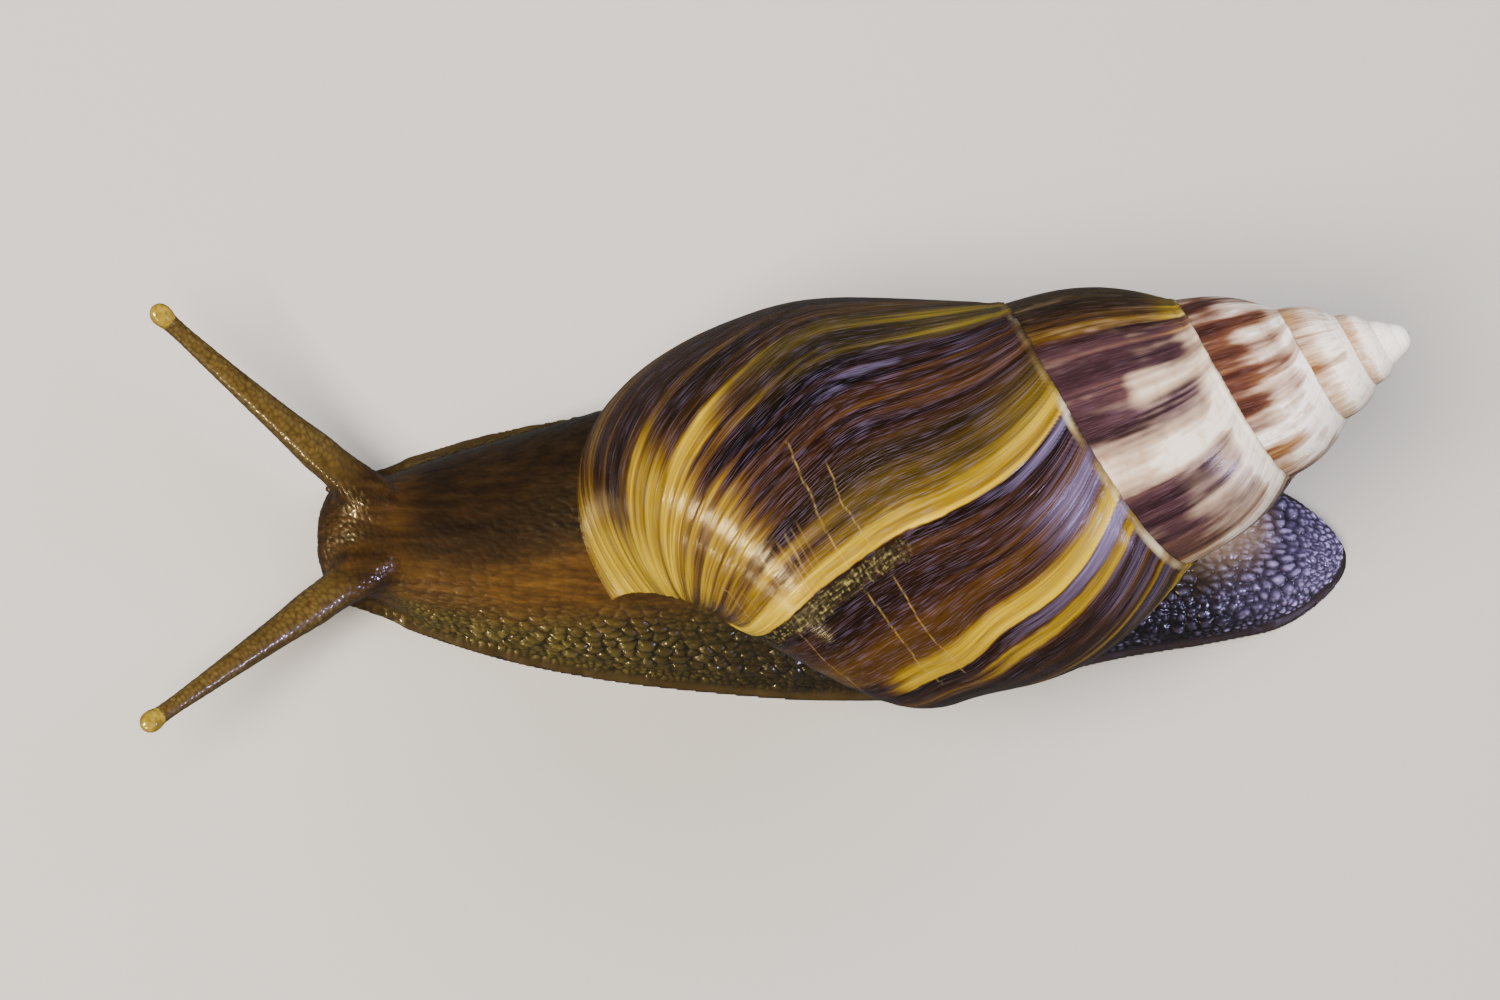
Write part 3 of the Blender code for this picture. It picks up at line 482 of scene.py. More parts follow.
def growth_turn(turn, share, lip_lag):
    """Turn at which a point was laid down: the same along a growth line, and 0 along the lip."""
    laid = turn - lip_lag / TURN
    for _ in range(16):
        settled = limit(laid / 0.13)
        lag = settled * growth_lag(laid, share) + (1 - settled) * lip_lag
        laid = laid + 0.5 * (turn - lag / TURN - laid)
    return laid


def along_growth(turn):
    """Distance along the widest line, back from the lip, in millimetres."""
    rate = math.log(RADIUS_RATE)
    return TURN * WIDEST_RADIUS * (1 - np.exp(-rate * turn)) / rate


def surface_normals(places):
    """Unit normals of a grid of places, pointing away from the shell's axis."""
    normal = unit(np.cross(np.gradient(places, axis=0), np.gradient(places, axis=1)))
    arm = places - APEX
    outward = arm - (arm @ AXIS)[..., None] * AXIS
    return normal * np.sign(np.sum(normal * outward, axis=-1).mean())


def body_places(grid_turn, share):
    """Places, turn and lag of the last whorl on rows that run along the lip."""
    lip_lag = LIP_LAG * ramp(0.35, 0.95, share) * (1 - ramp(0.65, 1, grid_turn))
    turn = grid_turn + lip_lag / TURN
    depth, radius = body_outline(turn, share)
    top, low = suture(turn), suture(turn - 1)
    down = (depth - top[0]) / (low[0] - top[0])
    early = spire_outline(turn, np.clip(down, 0, 1.2))[1]
    join = ramp(0.8, 1, grid_turn) * (1 - ramp(0.8, 1.15, down))
    return shell_places(depth, radius + join * (early - radius), turn), turn, lip_lag


def lines_at(laid, share, period, length, seed, size=1):
    """Lines along the shell's growth, between -0.5 and 0.5; period and length are in millimetres."""
    down = share * OUTLINE_LENGTH / (length * size)
    return blotches(along_growth(laid) / (period * size), down, seed) - 0.5


def wrinkled(laid, share):
    """Where growth lines stand out as wrinkles: behind the lip towards the base, and at the suture."""
    behind = ramp(0.14, 0.16, laid) * ramp(0.31, 0.24, laid)
    behind = behind * ramp(0.42, 0.6, share) * ramp(0.97, 0.85, share)
    return limit(behind + 0.6 * ramp(0.75, 0.9, share) * (laid < 0.5))


def relief(laid, share, size):
    """Height of growth lines, folds and the edge at the suture, in millimetres."""
    fine, middle, coarse = (
        lines_at(laid, share, period, length, seed, size)
        for period, length, seed in ((0.3, 9, 1), (0.75, 14, 2), (2.6, 25, 3))
    )
    strength = 0.55 + 1.9 * wrinkled(laid, share) + 0.6 * ramp(0.1, 0.02, share)
    height = (0.045 * fine + 0.085 * middle) * strength + 0.08 * coarse
    crimps = waves(along_growth(laid) / size, 1.1, 5) * ramp(0.045, 0, share)
    edge = 0.15 * ramp(0.011, 0.005, share) - 0.12 * bump_at(share, 0.016, 0.005)
    return size * (height + 0.1 * crimps + edge * (0.1 + waves(along_growth(laid), 2.4, 6)))


def rest_mark(laid, share):
    """Height of the step where growth paused and of the worn strip after it, and where that strip is."""
    step = 0.12 * ramp(0.3165, 0.314, laid) * ramp(0.28, 0.31, laid)
    ragged = 0.004 * (waves(share, 0.012, 13) - 0.5)
    worn = ramp(0.3155, 0.317, laid + ragged) * ramp(0.333, 0.329, laid - 2 * ragged)
    worn = worn * ramp(0.3, 0.36, share) * ramp(0.9, 0.82, share)
    cracks = lines_at(laid, share, 0.35, 1.2, 7) + 0.5 * lines_at(laid, share, 3, 0.5, 8)
    return step + 0.12 * worn * cracks, worn


def build_shell():
    """Outer face of the whole shell with the lip's edge, and the inner face near the lip."""
    verts, quads, facts = [], [], []

    def take(places, laid, share, size=1):
        quads.append(grid_quads(*laid.shape, start=sum(map(len, verts))))
        verts.append(places.reshape(-1, 3))
        facts.append(np.stack([laid, share, np.full(laid.shape, size)]).reshape(3, -1))

    def tuck(places, normal, laid, share, size=1):
        """Take a whorl with its upper edge tucked under the suture."""
        under = places[:, :1] - normal[:, :1] * SUTURE_TUCK * size
        rows = (np.concatenate([a[:, :1], a], axis=1) for a in (laid, share))
        take(np.concatenate([under, places], axis=1), *rows, size)

    # Last whorl.
    steps, columns = BODY_GRID
    share_row = np.linspace(0, 1, columns) ** 0.93
    grid_turn, share = np.meshgrid(np.linspace(0, 1, steps) ** 1.06, share_row, indexing="ij")
    places, turn, lip_lag = body_places(grid_turn, share)
    normal = surface_normals(places)
    laid = growth_turn(turn, share, lip_lag)
    height = relief(laid, share, 1) + rest_mark(laid, share)[0] - SHELL_INSET
    edge = ramp(0, 0.012, grid_turn)
    places = places + normal * (height * edge - SHELL_INSET * (1 - edge))[..., None]
    tuck(places, normal, laid, share)
    lip, facing, forward = places[0], normal[0], unit(places[0] - places[3])

    # Earlier whorls, one at a time, with fewer steps as they get smaller.
    for whorl in range(1, SPIRE_TURNS):
        steps, columns = (int(n * max(0.22, 0.74 ** (whorl - 1))) for n in SPIRE_GRID)
        rows = np.linspace(whorl, whorl + 1, steps)
        turn, part = np.meshgrid(rows, np.linspace(0, 1.07, columns), indexing="ij")
        places = shell_places(*spire_outline(turn, part), turn)
        share = part * SUTURE_SHARE
        size = RADIUS_RATE**-whorl
        laid = turn - growth_lag(turn, share) / TURN
        laid = laid - 0.012 * np.exp(-share / 0.04) * ramp(1, 1.12, turn)
        laid = laid + 0.055 * (1 - part) * ramp(1.85, 2.05, turn) * ramp(2.36, 2.1, turn)
        normal = surface_normals(places)
        height = relief(laid, share, size) * WORN_SMOOTH ** (whorl - 1) - SHELL_INSET
        tuck(places + normal * height[..., None], normal, laid, share, size)

    # Rounded tip over the first whorl.
    rows = np.linspace(SPIRE_TURNS - 1, SPIRE_TURNS, 40)
    turn, part = np.meshgrid(rows, np.linspace(0, 1, 12), indexing="ij")
    depth, radius = suture(turn)
    depth = TIP_DEPTH + (depth - TIP_DEPTH) * (1 - part**2)
    cap = shell_places(depth, radius * (1 - part), turn) + SHELL_INSET * AXIS
    take(cap, turn, np.full(turn.shape, 0.05), RADIUS_RATE ** (1 - SPIRE_TURNS))

    # Rounded edge of the lip, thinner at both ends.
    wall = SHELL_WALL * (0.25 + 0.75 * ramp(0, 0.2, share_row) * ramp(1, 0.8, share_row))
    arc = np.linspace(0, math.pi, 7)[:, None] + 0 * share_row
    inward, ahead = 0.5 * wall * (1 - np.cos(arc)), 0.3 * wall * np.sin(arc)
    rim = lip - facing * inward[..., None] + forward * ahead[..., None]
    take(rim, np.full(arc.shape, -0.01), np.broadcast_to(share_row, arc.shape))

    shell = grid_object("shell", np.concatenate(verts), np.concatenate(quads), shell_material())
    laid, share, size = np.concatenate(facts, axis=1)
    paint_shell(shell.data, laid, share, size)

    # Inner face, from the lip back into the aperture.
    rows = np.linspace(0, INSIDE_TURN, 60)
    places = body_places(*np.meshgrid(rows, share_row[::2], indexing="ij"))[0]
    places = places - surface_normals(places) * (wall[::2] + SHELL_INSET)[:, None]
    quads = grid_quads(*places.shape[:2])
    return shell, grid_object("shell_inside", places.reshape(-1, 3), quads, nacre_material())


def paint_shell(mesh, laid, share, size):
    """Store what the shell's material needs: tone, cream, bloom, wear, scratches and the suture's edge."""
    turn = laid + 0.003 * (blotches(laid * 60, share * 9, 11) - 0.5)
    turn += 0.0012 * (blotches(laid * 60, share * 60, 14) - 0.5)
    body = laid < 1
    part = limit(share / SUTURE_SHARE)

    def span(first, last, soft=0.004):
        return ramp(first - soft, first + soft, turn) * ramp(last + soft, last - soft, turn)

    def across(first, last, soft=0.06):
        return ramp(first - soft, first + soft, share) * ramp(last + soft, last - soft, share)

    # Last whorl: where a streak gets brighter or darker on its way down.
    tone = np.interp(turn, *np.transpose(BODY_STREAKS))
    for gain, first, last, high, low in BODY_BRIGHTER:
        tone += gain * span(first, last) * across(high, low) * (1.2 - tone)
    # Painted shadow: the gold band at turns 0.392 to 0.418 darkens towards the base.
    tone -= 0.55 * span(0.392, 0.418) * ramp(0.5, 0.62, share)
    tone -= 0.4 * span(0.432, 0.45) * ramp(0.2, 0.45, share)
    contrast = 0.17 + 0.14 * wrinkled(laid, share) - 0.13 * span(0.335, 0.392) * across(0.25, 0.95)
    contrast += 0.07 * span(-0.1, 0.127, 0.01) * across(0, 0.85)
    contrast = contrast - 0.06 * span(0.243, 0.297, 0.01) * across(-0.1, 0.55) + 0.08 * span(0.294, 0.3135)
    olive = 0.7 * span(0.25, 0.297, 0.012) + span(0.128, 0.18)
    olive *= across(-0.1, 0.5, 0.12)
    olive += (0.15 + 0.4 * ramp(0.75, 0.5, share)) * span(0, 0.128, 0.02)
    olive = np.where(body, olive, ramp(1.2, 1.1, laid))
    hair, fine = lines_at(laid, share, 0.3, 12, 1), lines_at(laid, share, 0.75, 22, 2)
    tone = tone + contrast * (hair + 1.3 * fine) + 0.22 * lines_at(laid, share, 2.2, 40, 15)

    # Earlier whorls: brown streaks on cream, paler towards the upper suture.
    places, browns, creams = np.transpose(SPIRE_STREAKS)
    brown, cream = np.interp(turn, places, browns), np.interp(turn, places, creams)
    hair, fine = (lines_at(laid, share, p, q, 16, size) for p, q in ((0.5, 14), (1.3, 30)))
    for gain, first, last, soft, start, end in SPIRE_CREAMIER:
        cream += gain * span(first, last, soft) * ramp(start, end, part)
    cream -= 0.85 * bump_at(turn, 1.265, 0.022) * ramp(0.54, 0.68, part)
    cream += 0.1 * bump_at(turn, 1.422, 0.011) * bump_at(part, 0.45, 0.13)
    cream -= 0.75 * bump_at(turn, 2.42, 0.014) * ramp(0.4, 0.6, part)
    cream -= 0.35 * bump_at(turn, 2.46, 0.012) * (bump_at(part, 0.25, 0.16) + bump_at(part, 0.95, 0.1))
    upper, lower = ramp(0.3, 0.05, part), ramp(0.5, 0.85, part)
    # Painted shade in the lower suture of whorls 2.4 to 5: less cream there lets the ochre-brown tone show.
    suture_shade = 0.35 + 0.5 * blotches(turn * 14, part * 2, 31)
    suture_shade = suture_shade * ramp(0.55, 1, part) * (laid > 2.4) * ramp(5, 4.3, laid)
    ragged = blotches(turn * 90, part * 5, 18) + 0.6 * blotches(turn * 200, part * 14, 19) - 0.8
    cream = cream + 0.5 * upper * (laid > 2) - suture_shade + 0.26 * ragged * ramp(3, 2.4, laid)
    cream = limit(cream)
    cream += (0.14 + 1.9 * cream * (1 - cream)) * (0.5 * hair + 0.6 * fine)
    cream = limit(cream) ** 2
    brown = brown + 0.2 * hair + 0.25 * fine + upper * (0.3 * (laid < 1.3) + 0.35 * (laid > 2))
    darker = 0.2 * span(2, 2.37, 0.01) + 0.16 * (span(1.25, 1.283) + span(1.4, 1.44))
    tone, cream = np.where(body, tone, brown - darker * lower), np.where(body, 0, cream)

    # Lavender film on the dark streaks near the suture.
    film = 0.42 * span(0.178, 0.205) * across(0.02, 0.34) + 0.4 * span(0.222, 0.238) * across(-0.1, 0.3)
    film *= ramp(0.3, 0.7, blotches(turn * 170, share * 16, 33))
    film += 1.05 * span(0.316, 0.352) * across(-0.1, 0.08, 0.1)
    film += 0.9 * span(0.352, 0.6, 0.01) * ramp(0.13, 0.03, share)
    film += 0.6 * span(0.418, 0.431) * across(-0.1, 0.3)
    early_film = 0.6 * ramp(1.22, 1.29, laid) * ramp(1.1, 0.1, part) * (laid < 2)
    film = np.where(body, film, early_film)
    film = film * ramp(0.55, 0.3, tone) * ramp(-0.25, 0.3, 0.6 * fine + 0.6 * hair)

    scratch = 0.35 * span(0.262, 0.313) * across(0.5, 0.8) * ramp(0.7, 0.9, waves(share, 0.006, 17))
    for place, first, last in SCRATCHES:
        seed = int(place * 1000)
        wander = place + 0.012 * (waves(laid, 0.018, seed) - 0.5)
        wander += 0.004 * (waves(laid, 0.004, seed + 1) - 0.5)
        inside = ramp(first - 0.004, first + 0.004, laid) * ramp(last + 0.002, last - 0.002, laid)
        line = inside * bump_at(share, wander, 0.0013)
        scratch = np.maximum(scratch, line * (0.6 + 0.4 * waves(laid, 0.004, seed + 2)))
    rim = np.where(body, 0.25 + 0.75 * ramp(0.26, 0.3, laid), 0.7 * ramp(5, 3.5, laid))
    rim *= ramp(0.008, 0.005, share)
    rim *= 0.25 + 0.75 * ramp(0.3, 0.6, blotches(laid * 45, share * 200, 34))
    layers = (limit(tone), 0.8 * limit(olive), laid, limit(film), cream)
    layers += (0.45 * scratch, 0.8 * rim, rest_mark(laid, share)[1])
    for name, values in zip(SHELL_LAYERS, layers):
        store(mesh, name, values)
    store(mesh, "lines", np.stack([along_growth(laid), share * OUTLINE_LENGTH, 0 * laid], axis=-1))


# ---------------------------------------------------------------- materials
def shell_material():
    """Periostracum over aragonite: glossy skin with gold and chestnut streaks along the growth lines."""
    made, add, shader = new_material("periostracum over aragonite")
    tone, olive, laid, bloom, cream, scratch, rim, worn = (
        add("Attribute", out="Fac", attribute_name=name) for name in SHELL_LAYERS
    )
    lines = add("Attribute", out="Vector", attribute_name="lines")
    # Streaks finer than the mesh: how many to a millimetre along the spiral and down the lip, detail.
    streaks = ((3.2, 0.08, 3), (8, 0.24, 2), (3.2, 0.512, 3), (0.9, 1.44, 3))
    scaled = (add("VectorMath", (lines, (n, m, 0)), operation="MULTIPLY") for n, m, _ in streaks)
    noises = (
        add("TexNoise", {"Vector": place, "Scale": 1, "Detail": detail})
        for place, (_, _, detail) in zip(scaled, streaks)
    )
    fine, hair, crumbs, chips = (add("Math", (noise, 0.5), operation="SUBTRACT") for noise in noises)
    for noise, share in ((fine, 0.22), (hair, 0.14)):
        tone = add("Math", (noise, share, tone), operation="MULTIPLY_ADD")
    # Pigment laid down along the lip as it grew: chestnut to yellow, and greener where it is olive.
    # The earlier whorls are duller and more purple, and the ones above them russet.
    base, green, umber, russet = (
        add("ValToRGB", (tone,), stops=stops)
        for stops in (
            CHESTNUT_TO_YELLOW,
            OLIVE_GREEN,
            ((0.05, "#24161a"), (0.3, "#3b262a"), (0.5, "#553a30"), (0.72, "#8a6434"), (1, "#b08a48")),
            ((0.05, "#29150e"), (0.3, "#4b2b1b"), (0.5, "#6e4729"), (0.8, "#a98350")),
        )
    )
    cloud, patchy = (
        add("TexNoise", {"Vector": lines, "Scale": per_mm, "Detail": detail})
        for per_mm, detail in ((0.5, 3), (0.12, 2))
    )
    above, early, late, stain = (
        add("MapRange", {"Value": value, "From Min": start, "From Max": end, "To Max": most})
        for value, start, end, most in (
            (laid, 1.95, 2.1, 0.75), (laid, 1.185, 1.2, 1), (laid, 0.9, 1.1, 1), (cloud, 0.55, 0.75, 0.5)
        )
    )
    # Lavender bloom: the thin grey film that shows where the brown is worn.
    film = add("Math", (hair, 1.6, bloom), operation="MULTIPLY_ADD")
    streaked = add("Math", (fine, 1.2, 0.6), operation="MULTIPLY_ADD")
    film = add("Math", (film, streaked), operation="MULTIPLY", use_clamp=True)
    # Thin brown around the streaks lets the cream show through as ochre.
    rest = add("Math", (1, cream), operation="SUBTRACT")
    rest = add("Math", (rest, 1.5), operation="MULTIPLY")
    halo = add("Math", (cream, rest), operation="MULTIPLY")
    # Worn strip at the rest mark: grey-green lines over dark brown. Cream is pinker towards the tip.
    crumbs = add("Math", (crumbs, chips), operation="ADD")
    turns = add("Math", (laid, 7), operation="DIVIDE")
    worn_share = add("Math", (worn, 0.95), operation="MULTIPLY")
    strip, edge, pale = (
        add("ValToRGB", (factor,), stops=stops)
        for factor, stops in (
            (crumbs, ((0, "#120d07"), (0.1, "#383118"), (0.24, "#787040"))),
            (patchy, ((0.36, "#3a2812"), (0.5, "#8a7446"), (0.62, "#d8cba6"))),
            (turns, TIPWARD_CREAM),
        )
    )
    umber, dusk, pale = (
        add("Mix", {0: share, 6: under, 7: over}, 2, data_type="RGBA")
        for share, under, over in (
            (above, umber, russet), (late, "#71668c", "#6a5062"), (stain, pale, "#b08a4e")
        )
    )
    # Each row lays a colour over those before it; scratches and the suture's edge are bare pale shell.
    for share, over in (
        (olive, green), (early, umber), (film, dusk), (cream, pale), (halo, "#a87e58"),
        (scratch, "#b3964c"), (rim, edge), (worn_share, strip),
    ):
        base = add("Mix", {0: share, 6: base, 7: over}, 2, data_type="RGBA")
    rough = 0.2
    for layer, more in ((worn, 0.25), (cream, 0.15), (fine, 0.2)):
        rough = add("Math", (layer, more, rough), operation="MULTIPLY_ADD")
    height = add("Math", (hair, 0.6, fine), operation="MULTIPLY_ADD")
    bump = add("Bump", {"Height": height, "Strength": 0.8, "Distance": 0.08 * MM})
    fixed = {"IOR": 1.5, "Specular IOR Level": 0.35}
    plug(shader, {"Base Color": base, "Roughness": rough, "Normal": bump, **fixed})
    return made


def nacre_material():
    """Porcelain-white inner layer of the shell, with a faint blue tinge."""
    made, add, shader = new_material("porcelain inner layer")
    place = add("TexCoord", out="Object")
    cloud = add("TexNoise", {"Vector": place, "Scale": 260, "Detail": 3})
    base = add("ValToRGB", (cloud,), stops=((0.3, "#b9b4b8"), (0.7, "#d6d0cb")))
    plug(shader, {"Base Color": base, "Roughness": 0.25, "IOR": 1.6})
    return made


def skin_material():
    """Wet mucous skin: brown neck, olive flank with warts, blue-grey tail, brown foot edge. The neck's back
    and the snail's right side carry painted shade, and the tail's wart tops and tip carry painted lavender
    highlights.
    """
    made, add, shader = new_material("wet mucous skin")
    layers = {name: add("Attribute", out="Fac", attribute_name=name) for name in SKIN_LAYERS}
    place = add("TexCoord", out="Object")
    wart = layers["wart"]
    # Spots 2.4 mm, patches 9 mm, grain 0.4 mm and stripes 0.9 mm across: how many to a metre, detail,
    # and how much they are drawn out along the body.
    mottle, patch, grain, stripe = (
        add("TexNoise", {"Vector": stretched, "Scale": per_metre, "Detail": detail})
        for stretched, per_metre, detail in (
            (place, 420, 4),
            (place, 110, 2),
            (place, 2600, 3),
            (add("VectorMath", (place, (1, 0.1, 1)), operation="MULTIPLY"), 1100, 2),
        )
    )
    # Warts are paler than the dark net of grooves between them.
    ramps = (
        ("flank", wart, ((0, "#161207"), (0.2, "#2c250d"), (0.6, "#4c4119"), (1, "#665a27"))),
        # neck and dark are lit and shaded copies of one brown; the shade layer lays the dark one on as
        # painted shade.
        ("neck", stripe, ((0.3, "#38220a"), (0.5, "#4c3210"), (0.7, "#604216"))),
        ("dark", stripe, ((0.3, "#100905"), (0.5, "#180f06"), (0.7, "#21150a"))),
        # The pale lavender wart tops of tail and tip are painted reflection of cool light over dark blue-grey
        # skin; the tip's ramp is paler, painted light where the tail's tip is lit.
        ("tail", wart, ((0, "#07060a"), (0.5, "#16141d"), (0.78, "#443d58"), (1, "#a196c8"))),
        ("tip", wart, ((0, "#15121d"), (0.45, "#443c5a"), (0.75, "#8b7fb0"), (1, "#cdc3f2"))),
    )
    tints = {name: add("ValToRGB", (factor,), stops=stops) for name, factor, stops in ramps}
    tints |= {"crest": "#b48b68", "fringe": "#2a1f0e", "feeler": "#35270e"}
    grooves = add("Math", (wart, -0.4, 0.4), operation="MULTIPLY_ADD")
    # Each row lays a colour over a region's colour; the last six lay the regions over the flank.
    for name, share, over in (
        # The flank darkens towards the back, and painted shade darkens the snail's right side.
        ("flank", layers["dim"], "#16110a"),
        ("neck", grooves, "#1a0e05"),
        # Painted shade: the neck's back and right side, and the head, take the dark copy.
        ("neck", layers["shade"], "dark"),
        # Painted light: the tail's tip takes the paler lavender ramp, as if lit.
        ("tail", layers["tip"], "tip"),
        # The crest's cream, #b48b68 to #fae0c2, is its own colour made paler still: painted light lifting it
        # out of the shell's shadow.
        ("crest", wart, "#fae0c2"),
        ("fringe", mottle, "#40331a"),
        ("fringe", layers["tail"], "#2c2426"),
        ("feeler", wart, "#5f4c22"),
        ("flank", layers["neck"], "neck"),
        ("flank", layers["tail"], "tail"),
        ("flank", layers["crest"], "crest"),
        ("flank", layers["fringe"], "fringe"),
        ("flank", layers["feeler"], "feeler"),
        ("flank", layers["collar"], "#141008"),
    ):
        inputs = {0: share, 6: tints[name], 7: tints.get(over, over)}
        tints[name] = add("Mix", inputs, 2, data_type="RGBA")
    ranges = {"From Min": 0.3, "From Max": 0.7, "To Min": 0.8, "To Max": 1.15}
    shade = add("MapRange", {"Value": patch, **ranges})
    base = add("Mix", {0: 1, 6: tints["flank"], 7: shade}, 2, data_type="RGBA", blend_type="MULTIPLY")
    bump = add("Bump", {"Height": grain, "Strength": 0.3, "Distance": 0.04 * MM})
    rough = add("Math", (mottle, 0.2, 0.28), operation="MULTIPLY_ADD")
    wet = {"IOR": 1.38, "Coat Weight": 0.9, "Coat Roughness": 0.07, "Coat IOR": 1.38}
    soft = {"Subsurface Weight": 0.08, "Subsurface Radius": (1, 0.5, 0.25), "Subsurface Scale": 0.8 * MM}
    plug(shader, {"Base Color": base, "Roughness": rough, "Normal": bump, **wet, **soft})
    return made


def eye_material():
    """Wet eye bulb: amber skin with a dark pupil under it."""
    made, add, shader = new_material("wet eye bulb")
    pupil = add("Attribute", out="Fac", attribute_name="pupil")
    place = add("TexCoord", out="Object")
    mottle = add("TexNoise", {"Vector": place, "Scale": 1500, "Detail": 3})
    amber = add("ValToRGB", (mottle,), stops=((0.35, "#6e5a16"), (0.65, "#9a812c")))
    base = add("Mix", {0: pupil, 6: amber, 7: "#15100c"}, 2, data_type="RGBA")
    wet = {"Roughness": 0.25, "IOR": 1.38, "Coat Weight": 0.8, "Coat Roughness": 0.05}
    plug(shader, {"Base Color": base, **wet})
    return made


def floor_material():
    """Plain pale studio floor."""
    made, _, shader = new_material("pale matte paper")
    plug(shader, {"Base Color": "#b9b6b1", "Roughness": 0.9})
    return made


# ---------------------------------------------------------------- flesh
def station(column, y):
    """Smooth value of one column of the station table at y."""
    ys, values = STATIONS[:, 0], STATIONS[:, column]
    slopes = np.gradient(values, ys)
    k = np.clip(np.searchsorted(ys, y) - 1, 0, len(ys) - 2)
    span = ys[k + 1] - ys[k]
    t = limit((y - ys[k]) / span)
    value = values[k] + (values[k + 1] - values[k]) * ease(t)
    return value + (t**3 - 2 * t**2 + t) * slopes[k] * span + (t**3 - t**2) * slopes[k + 1] * span


def flesh_rings():
    """Cross-sections of head, neck and foot, from the middle of the sole round."""
    first, last = STATIONS[0, 0], STATIONS[-1, 0]
    t = np.linspace(0, 1, 261)[1:-1]
    rings = []
    for y in first + (last - first) * (t - 0.12 * np.sin(TURN * t)):
        # The sections shrink where the head and the tail close.
        closed = 1 - min((y - first) / HEAD_ROUNDING, (last - y) / TAIL_ROUNDING, 1)
        share = math.sqrt(1 - closed**2)
        half, full, crest, under = (float(station(column, y)) for column in (1, 2, 3, 4))
        half, under = half * share, max(0, under)
        head = float(ramp(-FRINGE_START, -FRINGE_START + 4, -y))
        middle = under + 0.45 * (full - under) * head
        top = middle + (full - middle) * share**0.8
        under = middle - (middle - under) * share
        fringe = FRINGE_WIDTH * (1 - 0.85 * head) * share
        low = min(1, (top - under) / (3 * GROOVE_HEIGHT))
        groove = under + GROOVE_HEIGHT * low
        side = [(half * k / 12 * 0.93, under) for k in range(13)]
        side += [
            (half - inset * fringe, under + rise * FRINGE_HEIGHT * low)
            for inset, rise in ((0.35, 0), (0, 0.35), (0.1, 0.8), (0.55, 1.1))
        ]
        side.append((half - fringe, groove))
        for angle in np.linspace(0, 0.5 * math.pi, BACK_STEPS + 1)[1:-1]:
            out = (half - fringe) * math.cos(angle) ** 0.85
            side.append((out, groove + (top - groove) * math.sin(angle) ** 0.9))
        loop = side + [(0, top)] + [(-x, z) for x, z in reversed(side[1:])]
        tall = max(top - groove, 0.1)
        rings.append([(x + crest * max(0, z - groove) / tall, y, z) for x, z in loop])
    return np.array(rings, float)


def feeler_rings(ends, radii, sag, steps=70, sides=40):
    """Rings of a tapering feeler on a line that sags a little."""
    base, tip = np.array(ends)
    chord = tip - base
    across = unit(np.cross(chord, (0, 0, 1)))
    over = unit(np.cross(across, chord))
    table = np.array(radii)
    angles = np.linspace(0, TURN, sides, endpoint=False)
    spokes = np.cos(angles)[:, None] * across + np.sin(angles)[:, None] * over
    shares = np.linspace(table[0, 0], table[-1, 0], steps)[:, None, None]
    centres = base + chord * shares - over * sag * 4 * shares * (1 - shares)
    return centres + spokes * np.interp(shares, table[:, 0], table[:, 1])


def closed_tube(rings, first, last):
    """Vertices and faces of rings that close to a point at both ends."""
    count, sides = rings.shape[:2]
    verts = np.concatenate([rings.reshape(-1, 3), [first], [last]])
    faces = grid_quads(count, sides, closed=True).tolist()
    for row, end in ((0, count * sides), ((count - 1) * sides, count * sides + 1)):
        faces += [(end, row + k, row + (k + 1) % sides) for k in range(sides)]
    return verts, faces


def flesh_parts():
    """Closed shapes that the skin grows over."""
    rings = flesh_rings()
    nose = (0, STATIONS[0, 0], rings[0, :, 2].mean())
    tail = (-0.6, STATIONS[-1, 0], rings[-1, :, 2].mean())
    parts = [closed_object("body", *closed_tube(rings, nose, tail))]
    for ends in UPPER_FEELERS:
        rings = feeler_rings(ends, UPPER_FEELER_RADII, UPPER_FEELER_SAG)
        parts.append(closed_object("feeler", *closed_tube(rings, rings[0].mean(0), rings[-1].mean(0))))
    for ends in LOWER_FEELERS:
        rings = feeler_rings(ends, LOWER_FEELER_RADII, 0, 20, 24)
        parts.append(closed_object("small feeler", *closed_tube(rings, *ends)))
    work = bmesh.new()
    oval = Matrix.LocRotScale(Vector(LIPS_CENTRE), None, Vector(LIPS_SIZE))
    bmesh.ops.create_uvsphere(work, u_segments=32, v_segments=16, radius=1, matrix=oval)
    faces = [[v.index for v in f.verts] for f in work.faces]
    parts.append(closed_object("lips", [tuple(v.co) for v in work.verts], faces))
    work.free()
    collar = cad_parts["mantle"].data
    parts.append(closed_object("collar", vertex_array(collar), [tuple(p.vertices) for p in collar.polygons]))
    return parts


def build_skin():
    """One skin over all the flesh, with its warts, folds and stripes."""
    parts = flesh_parts()
    skin = parts[0]
    chosen = {"selected_objects": parts, "selected_editable_objects": parts}
    with bpy.context.temp_override(active_object=skin, object=skin, **chosen):
        bpy.ops.object.join()
    remesh = skin.modifiers.new("remesh", "REMESH")
    remesh.mode = "VOXEL"
    remesh.voxel_size = SKIN_STEP * MM
    smooth = skin.modifiers.new("smooth", "SMOOTH")
    smooth.factor, smooth.iterations = 0.5, 8
    mesh = bpy.data.meshes.new_from_object(skin.evaluated_get(bpy.context.evaluated_depsgraph_get()))
    skin.modifiers.clear()
    skin.data = mesh
    skin.name = mesh.name = "skin"
    soften(mesh)
    shape_skin(mesh)
    mesh.shade_smooth()
    mesh.materials.append(skin_material())
    return skin


